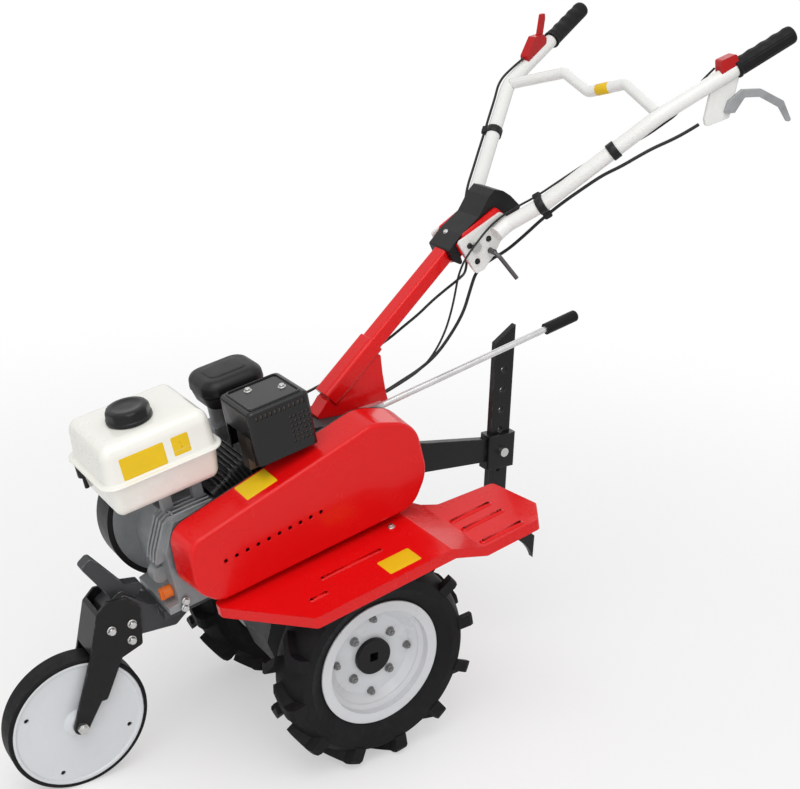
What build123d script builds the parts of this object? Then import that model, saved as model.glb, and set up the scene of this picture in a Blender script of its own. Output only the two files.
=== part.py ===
from build123d import *
import math
import os

os.makedirs("parts", exist_ok=True)

# A two-wheeled walk-behind tiller with a petrol engine, a belt drive and a front transport wheel.
# Millimetres. X points forward, Y to the machine's left, Z up, and the ground is Z = 0.

# Driving dimensions of the running gear
wheelbase = 476.0
track = 352.0
tyre_radius = 194.0
tyre_width = 100.0
rim_radius = 117.0
rim_width = 68.0
front_radius = 121.0
front_width = 42.0
handle_reach = 764.0
shaft_radius = 12.5
running_clearance = 0.05
seat_gap = 0.3

# The axle stands this far ahead of the middle of the machine's length
grip_radius = 16.5
axle_x = (handle_reach + grip_radius * 0.5 - wheelbase - front_radius) / 2

# The chassis outlines are drawn for a tyre whose top is at this height, and rise with a larger one
drawn_tyre_top = 388.0
lift = 2 * tyre_radius - drawn_tyre_top
axle_z = tyre_radius - lift
front_z = front_radius - lift

# The whole chassis rests nose down on its small front wheel
nose_down = 12.5
tilt_cos = math.cos(math.radians(nose_down))
tilt_sin = math.sin(math.radians(nose_down))

# Engine: the datum is on its base, under the crankshaft
base_x = 239.0
base_z = 331.5
crank_height = 106.0
crankcase_half = 58.0
deck = Plane(origin=(axle_x + base_x, 0, lift + base_z), x_dir=(tilt_cos, 0, -tilt_sin), z_dir=(tilt_sin, 0, tilt_cos))

# Gearbox, belt cover and fenders
gearbox_half = 48.0
gearbox_top = 585.0
pulley_x = -20.0
pulley_z = 515.0
cover_inner_y = 84.2
cover_outer_y = 150.0
cover_wall = 3.0
cover_draft = 5.0
plate_thickness = 3.0
fender_outer_y = 290.0
fender_wall = 3.0
fender_top = 24.0

# Handle column, its head and the hinge of the handlebar
column_foot = (-7.0, gearbox_top + 35.0)
column_end = (-260.4, 867.2)
column_width = 34.0
column_depth = 27.0
head_half = 38.0
pivot_x = -281.0
pivot_z = 868.0
pivot_radius = 6.0
clamp_x = -314.0
clamp_z = 858.0
clamp_radius = 5.0
lug_thickness = 5.0

# Handlebar: its upper run keeps its slope, and the run below it reaches back to meet it
bar_radius = 13.5
crossbar_radius = 10.5
upper_run = 231.0
bar_foot = (-316.0, 56.8, 889.5)
bar_heel = (-338.0, 56.8, 905.0)
bar_knee = (-387.0, 100.0, 949.0)
bar_joint = (upper_run - handle_reach, 215.0, 1111.0)
bar_end = (-handle_reach, 281.0, 1249.0)
grip_length = 122.0

# Drag stake and its socket
stake_x = -391.0
stake_width = 45.0
stake_thickness = 12.0
stake_top = 695.0
stake_pitch = 41.0
stake_hole_radius = 6.0
socket_wall = 9.0
socket_low = 408.0
socket_high = 478.0
pin_z = 444.0


def side(y):
    """The plane Y = y, whose sketch axes are X from the axle and Z, facing the machine's right."""
    return Plane(origin=place(0, y, 0), x_dir=(1, 0, 0), z_dir=(0, -1, 0))


def nose_side(y):
    """The same plane with its origin on the front wheel's axis."""
    return Plane(origin=place(wheelbase, y, front_z), x_dir=(1, 0, 0), z_dir=(0, -1, 0))


def deck_side(y):
    """A plane across the machine with its axes along and square to the engine's base."""
    return Plane(origin=deck.from_local_coords((0, y, 0)), x_dir=deck.x_dir, z_dir=(0, -1, 0))


def deck_level(z):
    """A plane parallel to the engine's base, z above it."""
    return deck.offset(z)


def place(x, y, z):
    """A point given from the axle, in the machine's frame."""
    return (axle_x + x, y, lift + z)


def axis_across(x, z):
    return Axis(place(x, 0, z), (0, 1, 0))


def rod(points, radii, radius):
    """A round rod or tube outside along straight runs joined by arcs."""
    with BuildPart() as swept:
        with BuildLine() as route:
            if len(points) > 2:
                FilletPolyline(*points, radius=radii)
            else:
                Polyline(*points)
        with BuildSketch(Plane(origin=route.line @ 0, z_dir=route.line % 0)):
            Circle(radius)
        sweep(path=route.line)
    return swept.part


def save(part, name):
    part.label = name
    export_step(part, f"parts/{name}.step")


# Drive axle with its two hub flanges
hub_radius = 33.5
sleeve_radius = 22.0
sleeve_start = gearbox_half + 19.0
disc_half = 2.5
hub_face = track / 2 + disc_half + seat_gap
hub_thickness = 9.0
with BuildPart() as wheel_axle:
    with BuildSketch(side(0)):
        with Locations((0, axle_z)):
            Circle(shaft_radius)
    extrude(amount=hub_face, both=True)
    for sign in (-1, 1):
        with BuildSketch(side(sign * hub_face)):
            with Locations((0, axle_z)):
                Circle(hub_radius)
        extrude(amount=-sign * hub_thickness)
        with BuildSketch(side(sign * sleeve_start)):
            with Locations((0, axle_z)):
                Circle(sleeve_radius)
        extrude(amount=-sign * (hub_face - sleeve_start))
        with BuildSketch(side(sign * (hub_face + hub_thickness))):
            with Locations((0, axle_z)):
                Rectangle(16, 16)
        extrude(amount=sign * 20, mode=Mode.SUBTRACT)
save(wheel_axle.part, "wheel_axle")


# Wheels: a two-flanged steel rim with a flat disc, and a tyre out to its lug tips
def wheel_plane(y, x=0.0, z=axle_z):
    """A radial plane through a wheel's axis: the sketch's axes are Y from the plane y, and outwards."""
    return Plane(origin=place(x, y, z), x_dir=(0, 1, 0), z_dir=(1, 0, 0))


bead_radius = 101.0
barrel_wall = 3.0
rim_half = rim_width / 2
flange_wall = 3.0
seat_width = 12.0
well_depth = 9.0
disc_radius = 76.0
disc_hole = 24.5
stud_circle = 52.0
rim_bolt_circle = 72.0
stud_hole_radius = 5.5


def make_rim(sign):
    """A drop-centre rim: flange, bead seat and well, round a flat disc that turns outwards into the well."""
    y = sign * track / 2
    seat = rim_half - flange_wall
    well_half = seat - seat_width
    well_radius = bead_radius - well_depth
    with BuildPart() as rim:
        with BuildSketch(wheel_plane(y)):
            with BuildLine():
                Polyline(
                    (-rim_half, rim_radius), (-seat, rim_radius), (-seat, bead_radius), (-well_half, bead_radius),
                    (4 - well_half, well_radius), (well_half - 4, well_radius), (well_half, bead_radius),
                    (seat, bead_radius), (seat, rim_radius), (rim_half, rim_radius),
                    (rim_half, bead_radius - barrel_wall), (well_half + 2, bead_radius - barrel_wall),
                    (well_half - 2, well_radius - barrel_wall), (2 - well_half, well_radius - barrel_wall),
                    (-well_half - 2, bead_radius - barrel_wall), (-rim_half, bead_radius - barrel_wall), close=True,
                )
            make_face()
            with BuildLine():
                FilletPolyline(
                    (-disc_half, disc_hole), (disc_half, disc_hole), (disc_half, disc_radius),
                    (well_half - 2, well_radius - barrel_wall / 2), (well_half - 8, well_radius - barrel_wall / 2),
                    (-disc_half, disc_radius + 4), close=True, radius=0.8,
                )
            make_face()
        revolve(axis=axis_across(0, axle_z))
        with BuildSketch(side(y)):
            with Locations((0, axle_z)):
                with PolarLocations(stud_circle, 4, start_angle=45):
                    Circle(stud_hole_radius)
                with PolarLocations(rim_bolt_circle, 4):
                    Circle(stud_hole_radius)
        extrude(amount=8 * disc_half, both=True, mode=Mode.SUBTRACT)
    return rim.part


# Tyre: a rounded carcass with slanted bars, the two rows half a pitch apart
lug_count = 12
lug_height = 14.0
lug_width = 17.0
lug_reach = 34.0
tread_half = tyre_width / 2 - 3.0
carcass_radius = tyre_radius - lug_height


def make_tyre(sign):
    y = sign * track / 2
    half = tyre_width / 2 - 4.0
    bead_half = rim_half - flange_wall - seat_gap
    inner = bead_radius + seat_gap
    shoulder = carcass_radius - 12.0
    with BuildPart() as tyre:
        with BuildSketch(wheel_plane(y)):
            with BuildLine():
                Polyline((half, inner + 42), (bead_half, rim_radius + 2), (bead_half, inner), (-bead_half, inner))
                Polyline((-bead_half, inner), (-bead_half, rim_radius + 2), (-half, inner + 42))
                Line((-half, inner + 42), (-half, shoulder - 8))
                ThreePointArc((-half, shoulder - 8), (0, carcass_radius), (half, shoulder - 8))
                Line((half, shoulder - 8), (half, inner + 42))
            make_face()
        revolve(axis=axis_across(0, axle_z))
        with BuildPart(mode=Mode.PRIVATE) as bars:
            for row in (-1, 1):
                for step in range(lug_count):
                    turn = 360 / lug_count * (step + 0.25 * row)
                    with BuildSketch(tread_plane(y, turn)):
                        with BuildLine():
                            Polyline(
                                (-lug_reach / 2 - lug_width / 2, row * 2), (-lug_reach / 2 + lug_width / 2, row * 2),
                                (lug_reach / 2 - 2 + lug_width / 2, row * (tread_half - 16)),
                                (lug_reach / 2 + lug_width * 0.7, row * (tread_half + 3)),
                                (lug_reach / 2 - lug_width * 0.6, row * (tread_half + 3)),
                                (lug_reach / 2 - 6 - lug_width / 2, row * (tread_half - 16)), close=True,
                            )
                        make_face()
                    extrude(amount=-lug_height - 24)
            with BuildSketch(wheel_plane(y)):
                with BuildLine():
                    Polyline(
                        (-tread_half, shoulder - 22), (-tread_half - 3, tyre_radius - 12), (-tread_half, tyre_radius - 5),
                        (-tread_half + 8, tyre_radius - 1.5), (0, axle_z), (tread_half - 8, tyre_radius - 1.5),
                        (tread_half, tyre_radius - 5), (tread_half + 3, tyre_radius - 12), (tread_half, shoulder - 22),
                        close=True,
                    )
                make_face()
            revolve(axis=axis_across(0, axle_z), mode=Mode.INTERSECT)
        add(bars.part)
    return tyre.part


def tread_plane(y, turn):
    """A plane that touches the tyre: its axes run round the tread and along the axle."""
    out = (math.sin(math.radians(turn)), 0, math.cos(math.radians(turn)))
    along = (math.cos(math.radians(turn)), 0, -math.sin(math.radians(turn)))
    x, _, z = place(0, 0, axle_z)
    origin = (x + out[0] * (tyre_radius + 1), y, z + out[2] * (tyre_radius + 1))
    return Plane(origin=origin, x_dir=along, z_dir=out)


for sign, name in ((1, "left"), (-1, "right")):
    save(make_rim(sign), f"rim_{name}")
    save(make_tyre(sign), f"tyre_{name}")

# Front transport wheel
front_half = front_width / 2
front_bolt_radius = 6.0
front_disc_radius = front_radius - 7.0
disc_wall = 3.0
dish = 7.0
front_hub_radius = 14.0
with BuildPart() as front_disc:
    bore = front_bolt_radius + running_clearance
    with BuildSketch(wheel_plane(0, wheelbase, front_z)):
        with BuildLine():
            FilletPolyline(
                (-front_half, bore), (-front_half, front_hub_radius), (-front_half + dish, front_hub_radius + 12),
                (-front_half + dish - 2, front_disc_radius - 30), (-front_half + 3, front_disc_radius - 7),
                (-front_half, front_disc_radius - 5), (-front_half, front_disc_radius), (front_half, front_disc_radius),
                (front_half, front_disc_radius - 5), (front_half - 3, front_disc_radius - 7),
                (front_half - dish + 2, front_disc_radius - 30), (front_half - dish, front_hub_radius + 12),
                (front_half, front_hub_radius), (front_half, bore), close=True, radius=1.2,
            )
        make_face()
        with BuildLine():
            Polyline(
                (-front_half + dish + disc_wall, front_hub_radius + 4), (front_half - dish - disc_wall, front_hub_radius + 4),
                (front_half - dish + 2 - disc_wall, front_disc_radius - 30), (front_half - 3 - disc_wall, front_disc_radius - 9),
                (-front_half + 3 + disc_wall, front_disc_radius - 9), (-front_half + dish - 2 + disc_wall, front_disc_radius - 30),
                close=True,
            )
        make_face(mode=Mode.SUBTRACT)
    revolve(axis=axis_across(wheelbase, front_z))
    with BuildSketch(side(0)):
        with Locations((wheelbase, front_z)):
            with PolarLocations(front_disc_radius - 20, 4, start_angle=20):
                Circle(4)
    extrude(amount=front_half + 1, both=True, mode=Mode.SUBTRACT)
save(front_disc.part, "front_disc")

with BuildPart() as front_tyre:
    with BuildSketch(side(front_half)):
        with Locations((wheelbase, front_z)):
            Circle(front_radius)
            Circle(front_disc_radius + 0.05, mode=Mode.SUBTRACT)
    extrude(amount=front_width)
    fillet(front_tyre.edges().filter_by(GeomType.CIRCLE).filter_by(lambda e: e.radius > front_radius - 1), 3)
save(front_tyre.part, "front_tyre")

# Front fork: a folded channel with two arms, and the bolt that carries the wheel
fork_wall = 5.0
fork_inner = front_half + 6.0
fork_outer = fork_inner + fork_wall
arm_end_radius = 14.0
fork_bolts = ((-58.0, 167.0), (-94.0, 170.0), (-93.0, 140.0))
fork_bolt_radius = 5.0
with BuildPart() as front_fork:
    with BuildSketch(nose_side(fork_outer)):
        with BuildLine():
            FilletPolyline(
                (-33, 201), (-51, 221), (-84, 221), (-110, 197), (-112, 127), (-75, 111), (-46, 39),
                (-6, 39), (-18, 118), close=True, radius=6,
            )
        make_face()
        with BuildLine():
            Polyline((-75, 111), (-13, -4), (13, 4), (-18, 118), close=True)
        make_face()
        with Locations((0, 0)):
            Circle(arm_end_radius)
            Circle(front_bolt_radius + 0.3, mode=Mode.SUBTRACT)
        with Locations(*fork_bolts):
            Circle(fork_bolt_radius, mode=Mode.SUBTRACT)
    extrude(amount=2 * fork_outer)
    with BuildSketch(nose_side(fork_inner)):
        with BuildLine():
            Polyline((-136, 239), (-43, 239), (-28, 131), (44, 131), (44, -41), (-136, -41), close=True)
        make_face()
    extrude(amount=2 * fork_inner, mode=Mode.SUBTRACT)
save(front_fork.part, "front_fork")

with BuildPart() as front_axle_bolt:
    with BuildSketch(side(fork_outer + 12)):
        with Locations((wheelbase, front_z)):
            Circle(front_bolt_radius)
    extrude(amount=2 * fork_outer + 24)
    for sign in (-1, 1):
        with BuildSketch(side(sign * (fork_outer + seat_gap))):
            with Locations((wheelbase, front_z)):
                RegularPolygon(10, 6)
        extrude(amount=-sign * 8)
        with BuildSketch(side(sign * (front_half + seat_gap))):
            with Locations((wheelbase, front_z)):
                Circle(10)
        extrude(amount=-sign * (fork_inner - front_half - 2 * seat_gap))
save(front_axle_bolt.part, "front_axle_bolt")

# Gearbox: one casting from the axle up to the belt pulley's shaft and the foot of the handle
axle_boss_radius = 38.0
with BuildPart() as gearbox:
    with BuildSketch(side(gearbox_half)):
        with BuildLine():
            FilletPolyline(
                (-80, axle_z - 44), (-45, axle_z - 90), (45, axle_z - 94), (112, axle_z - 62), (138, axle_z - 4),
                (122, 262), (100, 330), (92, 400),
                (66, 470), (66, gearbox_top), (-78, gearbox_top), (-98, 530), (-88, 400), (-72, 300),
                close=True, radius=14,
            )
        make_face()
    extrude(amount=2 * gearbox_half)
    for sign in (-1, 1):
        with BuildSketch(side(sign * gearbox_half)):
            with Locations((0, axle_z)):
                Circle(axle_boss_radius)
        extrude(amount=-sign * 14)
    with BuildSketch(side(gearbox_half)):
        with Locations((pulley_x, pulley_z)):
            Circle(40)
    extrude(amount=-(cover_inner_y - plate_thickness - 2 * seat_gap - gearbox_half))
    with BuildSketch(side(0)):
        with Locations((0, axle_z)):
            Circle(shaft_radius + running_clearance)
    extrude(amount=2 * gearbox_half, both=True, mode=Mode.SUBTRACT)
save(gearbox.part, "gearbox")

# Engine bed: a cast deck from the gearbox to the nose, with the bumper horn
bed_thickness = 16.0
bed_half = 56.0
beak_half = fork_inner - seat_gap
horn_half = 11.0
with BuildPart() as engine_bed:
    with BuildSketch(deck_side(bed_half)):
        with BuildLine():
            Polyline((-160, 0), (98, 0), (98, -bed_thickness), (-60, -bed_thickness), (-160, -60), close=True)
        make_face()
    extrude(amount=2 * bed_half)
    with BuildSketch(nose_side(beak_half)):
        with BuildLine():
            FilletPolyline(
                (262 - wheelbase, 300 - front_z), (300 - wheelbase, 264 - front_z), (-114, 143), (-78, 127),
                (-46, 147), (-52, 201), (-84, 224), (-124, 197), (300 - wheelbase, 300 - front_z),
                close=True, radius=7,
            )
        make_face()
    extrude(amount=2 * beak_half)
    with BuildSketch(nose_side(horn_half)):
        with BuildLine():
            FilletPolyline(
                (-110, 201), (-126, 231), (-91, 235), (-36, 297), (-18, 281), (-64, 219), (-76, 199),
                close=True, radius=7,
            )
        make_face()
    extrude(amount=2 * horn_half)
    with BuildSketch(nose_side(0)):
        with Locations(*fork_bolts):
            Circle(fork_bolt_radius)
    extrude(amount=2 * beak_half, both=True, mode=Mode.SUBTRACT)
    add(gearbox.part, mode=Mode.SUBTRACT)
save(engine_bed.part.solids().sort_by(SortBy.VOLUME)[-1], "engine_bed")

# Engine
tank_bottom = 205.0
back_radius = 112.0
pto_face = cover_inner_y - plate_thickness - 2 * seat_gap
with BuildPart() as crankcase:
    with BuildSketch(deck_side(72)):
        with BuildLine():
            Polyline(
                (-92, seat_gap), (92, seat_gap), (92, 12), (72, 16), (74, 110), (48, 162), (-30, 162), (-70, 128),
                (-74, 16), (-92, 12), close=True,
            )
        make_face()
    extrude(amount=72 + crankcase_half)
    with BuildSketch(deck_side(72)):
        with Locations((0, crank_height)):
            Circle(46)
    extrude(amount=-(pto_face - 72))
    with BuildSketch(deck_side(-crankcase_half)):
        with Locations((0, crank_height)):
            Circle(back_radius)
        with Locations((0, -50), (0, 255)):
            Rectangle(300, 120, mode=Mode.SUBTRACT)
    extrude(amount=5)
    for bar in range(4):
        with BuildSketch(deck_side(24 + 12 * bar)):
            with BuildLine():
                Polyline((90, 92), (84, 112), (60, 160), (40, 170), (40, 100), close=True)
            make_face()
        extrude(amount=6)
    with BuildSketch(deck_side(40)):
        with Locations((80, 60)):
            Circle(15)
    extrude(amount=24)
    with BuildSketch(deck_level(160)):
        with Locations((10, 0)):
            with GridLocations(56, 60, 2, 2):
                Rectangle(18, 14)
    extrude(amount=tank_bottom - 160 - seat_gap)
save(crankcase.part, "crankcase")

fan_inner = -crankcase_half - 5 - seat_gap
fan_radius = 122.0
with BuildPart() as fan_housing:
    with BuildSketch(deck_side(fan_inner)):
        with Locations((0, crank_height)):
            Circle(fan_radius)
        with Locations((0, 260)):
            Rectangle(400, 130, mode=Mode.SUBTRACT)
        with Locations((0, -60)):
            Rectangle(400, 130, mode=Mode.SUBTRACT)
    extrude(amount=52)
    fillet(fan_housing.faces().sort_by(Axis.Y)[0].edges(), 9)
    with BuildSketch(deck_side(-crankcase_half)):
        with Locations((0, crank_height)):
            Circle(fan_radius)
            Circle(back_radius + seat_gap, mode=Mode.SUBTRACT)
        with Locations((0, 255), (0, -50)):
            Rectangle(400, 120, mode=Mode.SUBTRACT)
    extrude(amount=6)
save(fan_housing.part, "fan_housing")

with BuildPart() as recoil_starter:
    with BuildSketch(deck_side(fan_inner - 52 - seat_gap)):
        with Locations((0, crank_height)):
            Circle(76)
    extrude(amount=26)
    fillet(recoil_starter.faces().sort_by(Axis.Y)[0].edges(), 10)
save(recoil_starter.part, "recoil_starter")

cylinder_tilt = 25.0
cyl_cos = math.cos(math.radians(cylinder_tilt))
cyl_sin = math.sin(math.radians(cylinder_tilt))


def bore_plane(distance):
    """A plane square to the cylinder's bore, at a distance from the crankshaft."""
    origin = deck.from_local_coords((-distance * cyl_cos, 0, crank_height + distance * cyl_sin))
    tip = deck.from_local_coords((-(distance + 1) * cyl_cos, 0, crank_height + (distance + 1) * cyl_sin))
    return Plane(origin=origin, x_dir=(0, 1, 0), z_dir=tip - origin)


with BuildPart() as cylinder:
    with BuildSketch(bore_plane(60)):
        RectangleRounded(78, 76, 10)
    extrude(amount=42)
    for step in range(4):
        with BuildSketch(bore_plane(75 + 8 * step)):
            RectangleRounded(100, 92, 10)
        extrude(amount=2.4)
    add(crankcase.part, mode=Mode.SUBTRACT)
save(cylinder.part.solids().sort_by(SortBy.VOLUME)[-1], "cylinder")

with BuildPart() as cylinder_head:
    with BuildSketch(bore_plane(102 + seat_gap)):
        RectangleRounded(84, 88, 10)
    extrude(amount=50)
    for step in range(5):
        with BuildSketch(bore_plane(106 + 8 * step)):
            RectangleRounded(100, 112, 10)
        extrude(amount=2.4)
    with BuildSketch(bore_plane(150)):
        RectangleRounded(78, 82, 14)
    extrude(amount=34)
    fillet(cylinder_head.faces().sort_by(Axis.X)[0].edges(), 4)
save(cylinder_head.part, "cylinder_head")

carb_outer = -98.0
cleaner_low = 279.0
cleaner_top = 332.0
with BuildPart() as carburettor:
    with BuildSketch(deck_level(172)):
        with Locations((-128, (carb_outer - 50 - seat_gap) / 2)):
            RectangleRounded(46, -50 - seat_gap - carb_outer, 6)
    extrude(amount=54)
    with BuildSketch(deck_level(226)):
        with Locations((-128, -76)):
            Circle(18)
    extrude(amount=cleaner_low - 226 - seat_gap)
save(carburettor.part, "carburettor")

deck_up = Axis(deck.origin, deck.z_dir)
with BuildPart() as air_cleaner:
    with BuildSketch(deck_level(cleaner_low)):
        with Locations((-142, -44)):
            RectangleRounded(116, 100, 28)
    extrude(amount=cleaner_top - cleaner_low)
    fillet(air_cleaner.faces().filter_by(GeomType.PLANE).sort_by(deck_up)[-1].edges(), 16)
    fillet(air_cleaner.faces().filter_by(GeomType.PLANE).sort_by(deck_up)[0].edges(), 9)
save(air_cleaner.part, "air_cleaner")

# Muffler and its guard
guard_wall = 2.0
guard_low = 222.0
guard_high = 319.0
guard_inner_y = 16.0
guard_outer_y = 126.0
guard_front = -98.0
guard_back = -212.0
guard_x = (guard_front + guard_back) / 2
guard_y = (guard_inner_y + guard_outer_y) / 2
with BuildPart() as muffler_guard:
    with BuildSketch(deck_level(guard_low)):
        with Locations((guard_x, guard_y)):
            RectangleRounded(guard_front - guard_back, guard_outer_y - guard_inner_y, 10)
    extrude(amount=guard_high - guard_low)
    fillet(muffler_guard.faces().sort_by(deck_up)[-1].edges(), 7)
    with BuildSketch(deck_level(guard_low)):
        with Locations((guard_x, guard_y)):
            RectangleRounded(
                guard_front - guard_back - 2 * guard_wall, guard_outer_y - guard_inner_y - 2 * guard_wall, 8
            )
    extrude(amount=guard_high - guard_low - 8, mode=Mode.SUBTRACT)
    with BuildSketch(deck_side(guard_outer_y + 1)):
        for step in range(11):
            with Locations((guard_front - 14 - 8.6 * step, guard_high - 13)):
                Rectangle(4, 8)
        with Locations((guard_back + 26, guard_low + 42)):
            with GridLocations(8, 9, 5, 6):
                Circle(2.6)
    extrude(amount=guard_wall + 2, mode=Mode.SUBTRACT)
    with BuildSketch(deck_side((guard_inner_y + guard_outer_y) / 2)):
        with Locations((guard_front, guard_low)):
            Rectangle(26, 96)
    extrude(amount=(guard_outer_y - guard_inner_y) / 2 - 12, both=True, mode=Mode.SUBTRACT)
save(muffler_guard.part, "muffler_guard")

muffler_inner_y = 52.0
muffler_outer_y = guard_outer_y - guard_wall - seat_gap
muffler_y = (muffler_inner_y + muffler_outer_y) / 2
muffler_length = guard_front - guard_back - 2 * guard_wall - 2 * seat_gap
with BuildPart() as muffler:
    with BuildSketch(deck_level(198)):
        with Locations((guard_x, muffler_y)):
            RectangleRounded(muffler_length, muffler_outer_y - muffler_inner_y, 7)
        with Locations((guard_x, pto_face - seat_gap + 28)):
            Rectangle(200, 56, mode=Mode.SUBTRACT)
    extrude(amount=guard_low - 198)
    with BuildSketch(deck_level(guard_low)):
        with Locations((guard_x, muffler_y)):
            RectangleRounded(muffler_length, muffler_outer_y - muffler_inner_y, 7)
    extrude(amount=guard_high - guard_low - 8 - seat_gap)
save(muffler.part, "muffler")

# Fuel tank of two pressed shells on a flange, with its cap
tank_length = 214.0
tank_width = 188.0
tank_x = 39.0
tank_y = -4.0
tank_flange = 268.0
tank_top = 336.0
tank_wall = 1.6
tank_corner = 28.0
flange_rim = 7.0
flange_thickness = 4.0
cap_x = 54.0
cap_y = 12.0
cap_radius = 38.0
cap_height = 24.0


def tank_shell(inset):
    """The tank's two deep drawn halves, shrunk by inset, without the flange between them."""
    length = tank_length - 2 * flange_rim - 2 * inset
    width = tank_width - 2 * flange_rim - 2 * inset
    with BuildPart() as shell:
        with BuildSketch(deck_level(tank_flange - 1)):
            with Locations((tank_x, tank_y)):
                RectangleRounded(length, width, tank_corner - inset)
        extrude(amount=tank_top - inset - tank_flange + 1, taper=4)
        fillet(shell.faces().sort_by(deck_up)[-1].edges(), 18 - inset)
        with BuildSketch(deck_level(tank_flange - flange_thickness + 1)):
            with Locations((tank_x, tank_y)):
                RectangleRounded(length - 4, width - 4, tank_corner - inset)
        extrude(amount=-(tank_flange - flange_thickness + 1 - tank_bottom - inset), taper=9)
        fillet(shell.faces().sort_by(deck_up)[0].edges(), 18 - inset)
    return shell.part


with BuildPart() as fuel_tank:
    add(tank_shell(0))
    with BuildSketch(deck_level(tank_flange)):
        with Locations((tank_x, tank_y)):
            RectangleRounded(tank_length, tank_width, tank_corner + 2)
    extrude(amount=-flange_thickness)
    add(tank_shell(tank_wall), mode=Mode.SUBTRACT)
save(fuel_tank.part, "fuel_tank")

cap_lobes = 10
with BuildPart() as fuel_cap:
    with BuildSketch(deck_level(tank_top + seat_gap)):
        with Locations((cap_x, cap_y)):
            Circle(cap_radius - 3)
            with PolarLocations(cap_radius - 9, cap_lobes):
                Circle(9)
    extrude(amount=cap_height, taper=3)
    fillet(fuel_cap.faces().sort_by(deck_up)[-1].edges(), 2.5)
save(fuel_cap.part, "fuel_cap")

plug_plane = Plane(
    origin=deck.from_local_coords((73 + seat_gap, 48, 30)), x_dir=(0, 1, 0), z_dir=deck.x_dir
)
with BuildPart() as oil_plug:
    with BuildSketch(plug_plane):
        Circle(11)
    extrude(amount=16)
    with BuildSketch(plug_plane.offset(16)):
        Rectangle(7, 20)
    extrude(amount=5)
save(oil_plug.part, "oil_plug")

# Belt cover: a deep drawn shell over the two pulleys, with a flat guard plate behind it
cover_face = (
    (329, 471), (-11, 617), (-96, 603), (-125, 506), (-99, 445), (274, 358), (314, 385),
)
cover_corners = [30, 60, 58, 70, 50, 40, 40]
edge_radius = 7.0
vent_first = (264.0, 431.0)
vent_last = (89.0, 478.0)
vent_count = 10
vent_radius = 3.6
with BuildPart() as belt_cover:
    with BuildSketch(side(cover_outer_y)):
        with BuildLine():
            FilletPolyline(*cover_face, close=True, radius=cover_corners)
        make_face()
    extrude(amount=cover_outer_y - cover_inner_y, taper=-cover_draft)
    fillet(belt_cover.faces().sort_by(Axis.Y)[-1].edges(), edge_radius)
    with BuildSketch(side(cover_outer_y - cover_wall)):
        with BuildLine():
            FilletPolyline(*cover_face, close=True, radius=cover_corners)
        make_face()
        offset(amount=-cover_wall, mode=Mode.REPLACE)
    extrude(amount=cover_outer_y - cover_inner_y, taper=-cover_draft, mode=Mode.SUBTRACT)
    with BuildSketch(side(cover_outer_y)):
        for step in range(vent_count):
            share = step / (vent_count - 1)
            x = vent_first[0] + share * (vent_last[0] - vent_first[0])
            z = vent_first[1] + share * (vent_last[1] - vent_first[1])
            with Locations((x, z)):
                Circle(vent_radius)
    extrude(amount=2 * cover_wall, both=True, mode=Mode.SUBTRACT)
save(belt_cover.part, "belt_cover")

with BuildPart() as belt_guard_plate:
    with BuildSketch(side(cover_inner_y - seat_gap)):
        with BuildLine():
            FilletPolyline(*cover_face, close=True, radius=cover_corners)
        make_face()
        spread = (cover_outer_y - cover_inner_y) * math.tan(math.radians(cover_draft))
        offset(amount=spread, mode=Mode.REPLACE)
    extrude(amount=plate_thickness)
save(belt_guard_plate.part, "belt_guard_plate")

# Fenders: pressed sheets over the wheels, notched round the engine
fender_front = 32.0
fender_step = -336.0
fender_drop = 26.0
fender_tail = -545.0
fender_lip = 20.0
notch_y = 126.0
notch_x = -132.0


def fender_plan(inset):
    """The fender's outline from above, shrunk by its wall, in the plane of the engine's base."""
    outer = fender_outer_y - inset
    inner = gearbox_half + seat_gap
    with BuildSketch() as plan:
        with BuildLine():
            FilletPolyline(
                (fender_front - inset, notch_y - 1), (fender_front - inset, 148), (-70 - inset * 0.4, outer),
                (fender_tail + 30, outer), (fender_tail + inset, outer - 44), (fender_tail + 12 + inset, 132),
                (-420, 118), (-350, inner), (notch_x, inner), (notch_x, notch_y - 1), close=True, radius=10,
            )
        make_face()
    return plan.sketch


def fender_profile(top):
    """The region under the fender's sheet, from the side."""
    with BuildSketch() as profile:
        with BuildLine():
            FilletPolyline(
                (fender_front + 20, top), (fender_step, top), (fender_step - 62, top - fender_drop),
                (fender_tail - 20, top - fender_drop), (fender_tail - 20, top - fender_drop - fender_lip),
                (fender_step - 66, top - fender_drop - fender_lip), (fender_step - 4, top - fender_lip),
                (fender_front + 20, top - fender_lip), close=True, radius=2,
            )
        make_face()
    return profile.sketch


with BuildPart() as fender_left:
    with BuildSketch(deck_level(-80)):
        add(fender_plan(0))
    extrude(amount=160)
    with BuildSketch(deck_side(0)):
        add(fender_profile(fender_top))
    extrude(amount=-fender_outer_y - 10, mode=Mode.INTERSECT)
    with BuildPart(mode=Mode.PRIVATE) as hollow:
        with BuildSketch(deck_level(-80)):
            add(fender_plan(fender_wall))
        extrude(amount=160)
        with BuildSketch(deck_side(0)):
            add(fender_profile(fender_top - fender_wall))
        extrude(amount=-fender_outer_y - 10, mode=Mode.INTERSECT)
    add(hollow.part, mode=Mode.SUBTRACT)
save(fender_left.part, "fender_left")

with BuildPart() as fender_right:
    mirror(fender_left.part, about=Plane.XZ)
save(fender_right.part, "fender_right")

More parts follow.
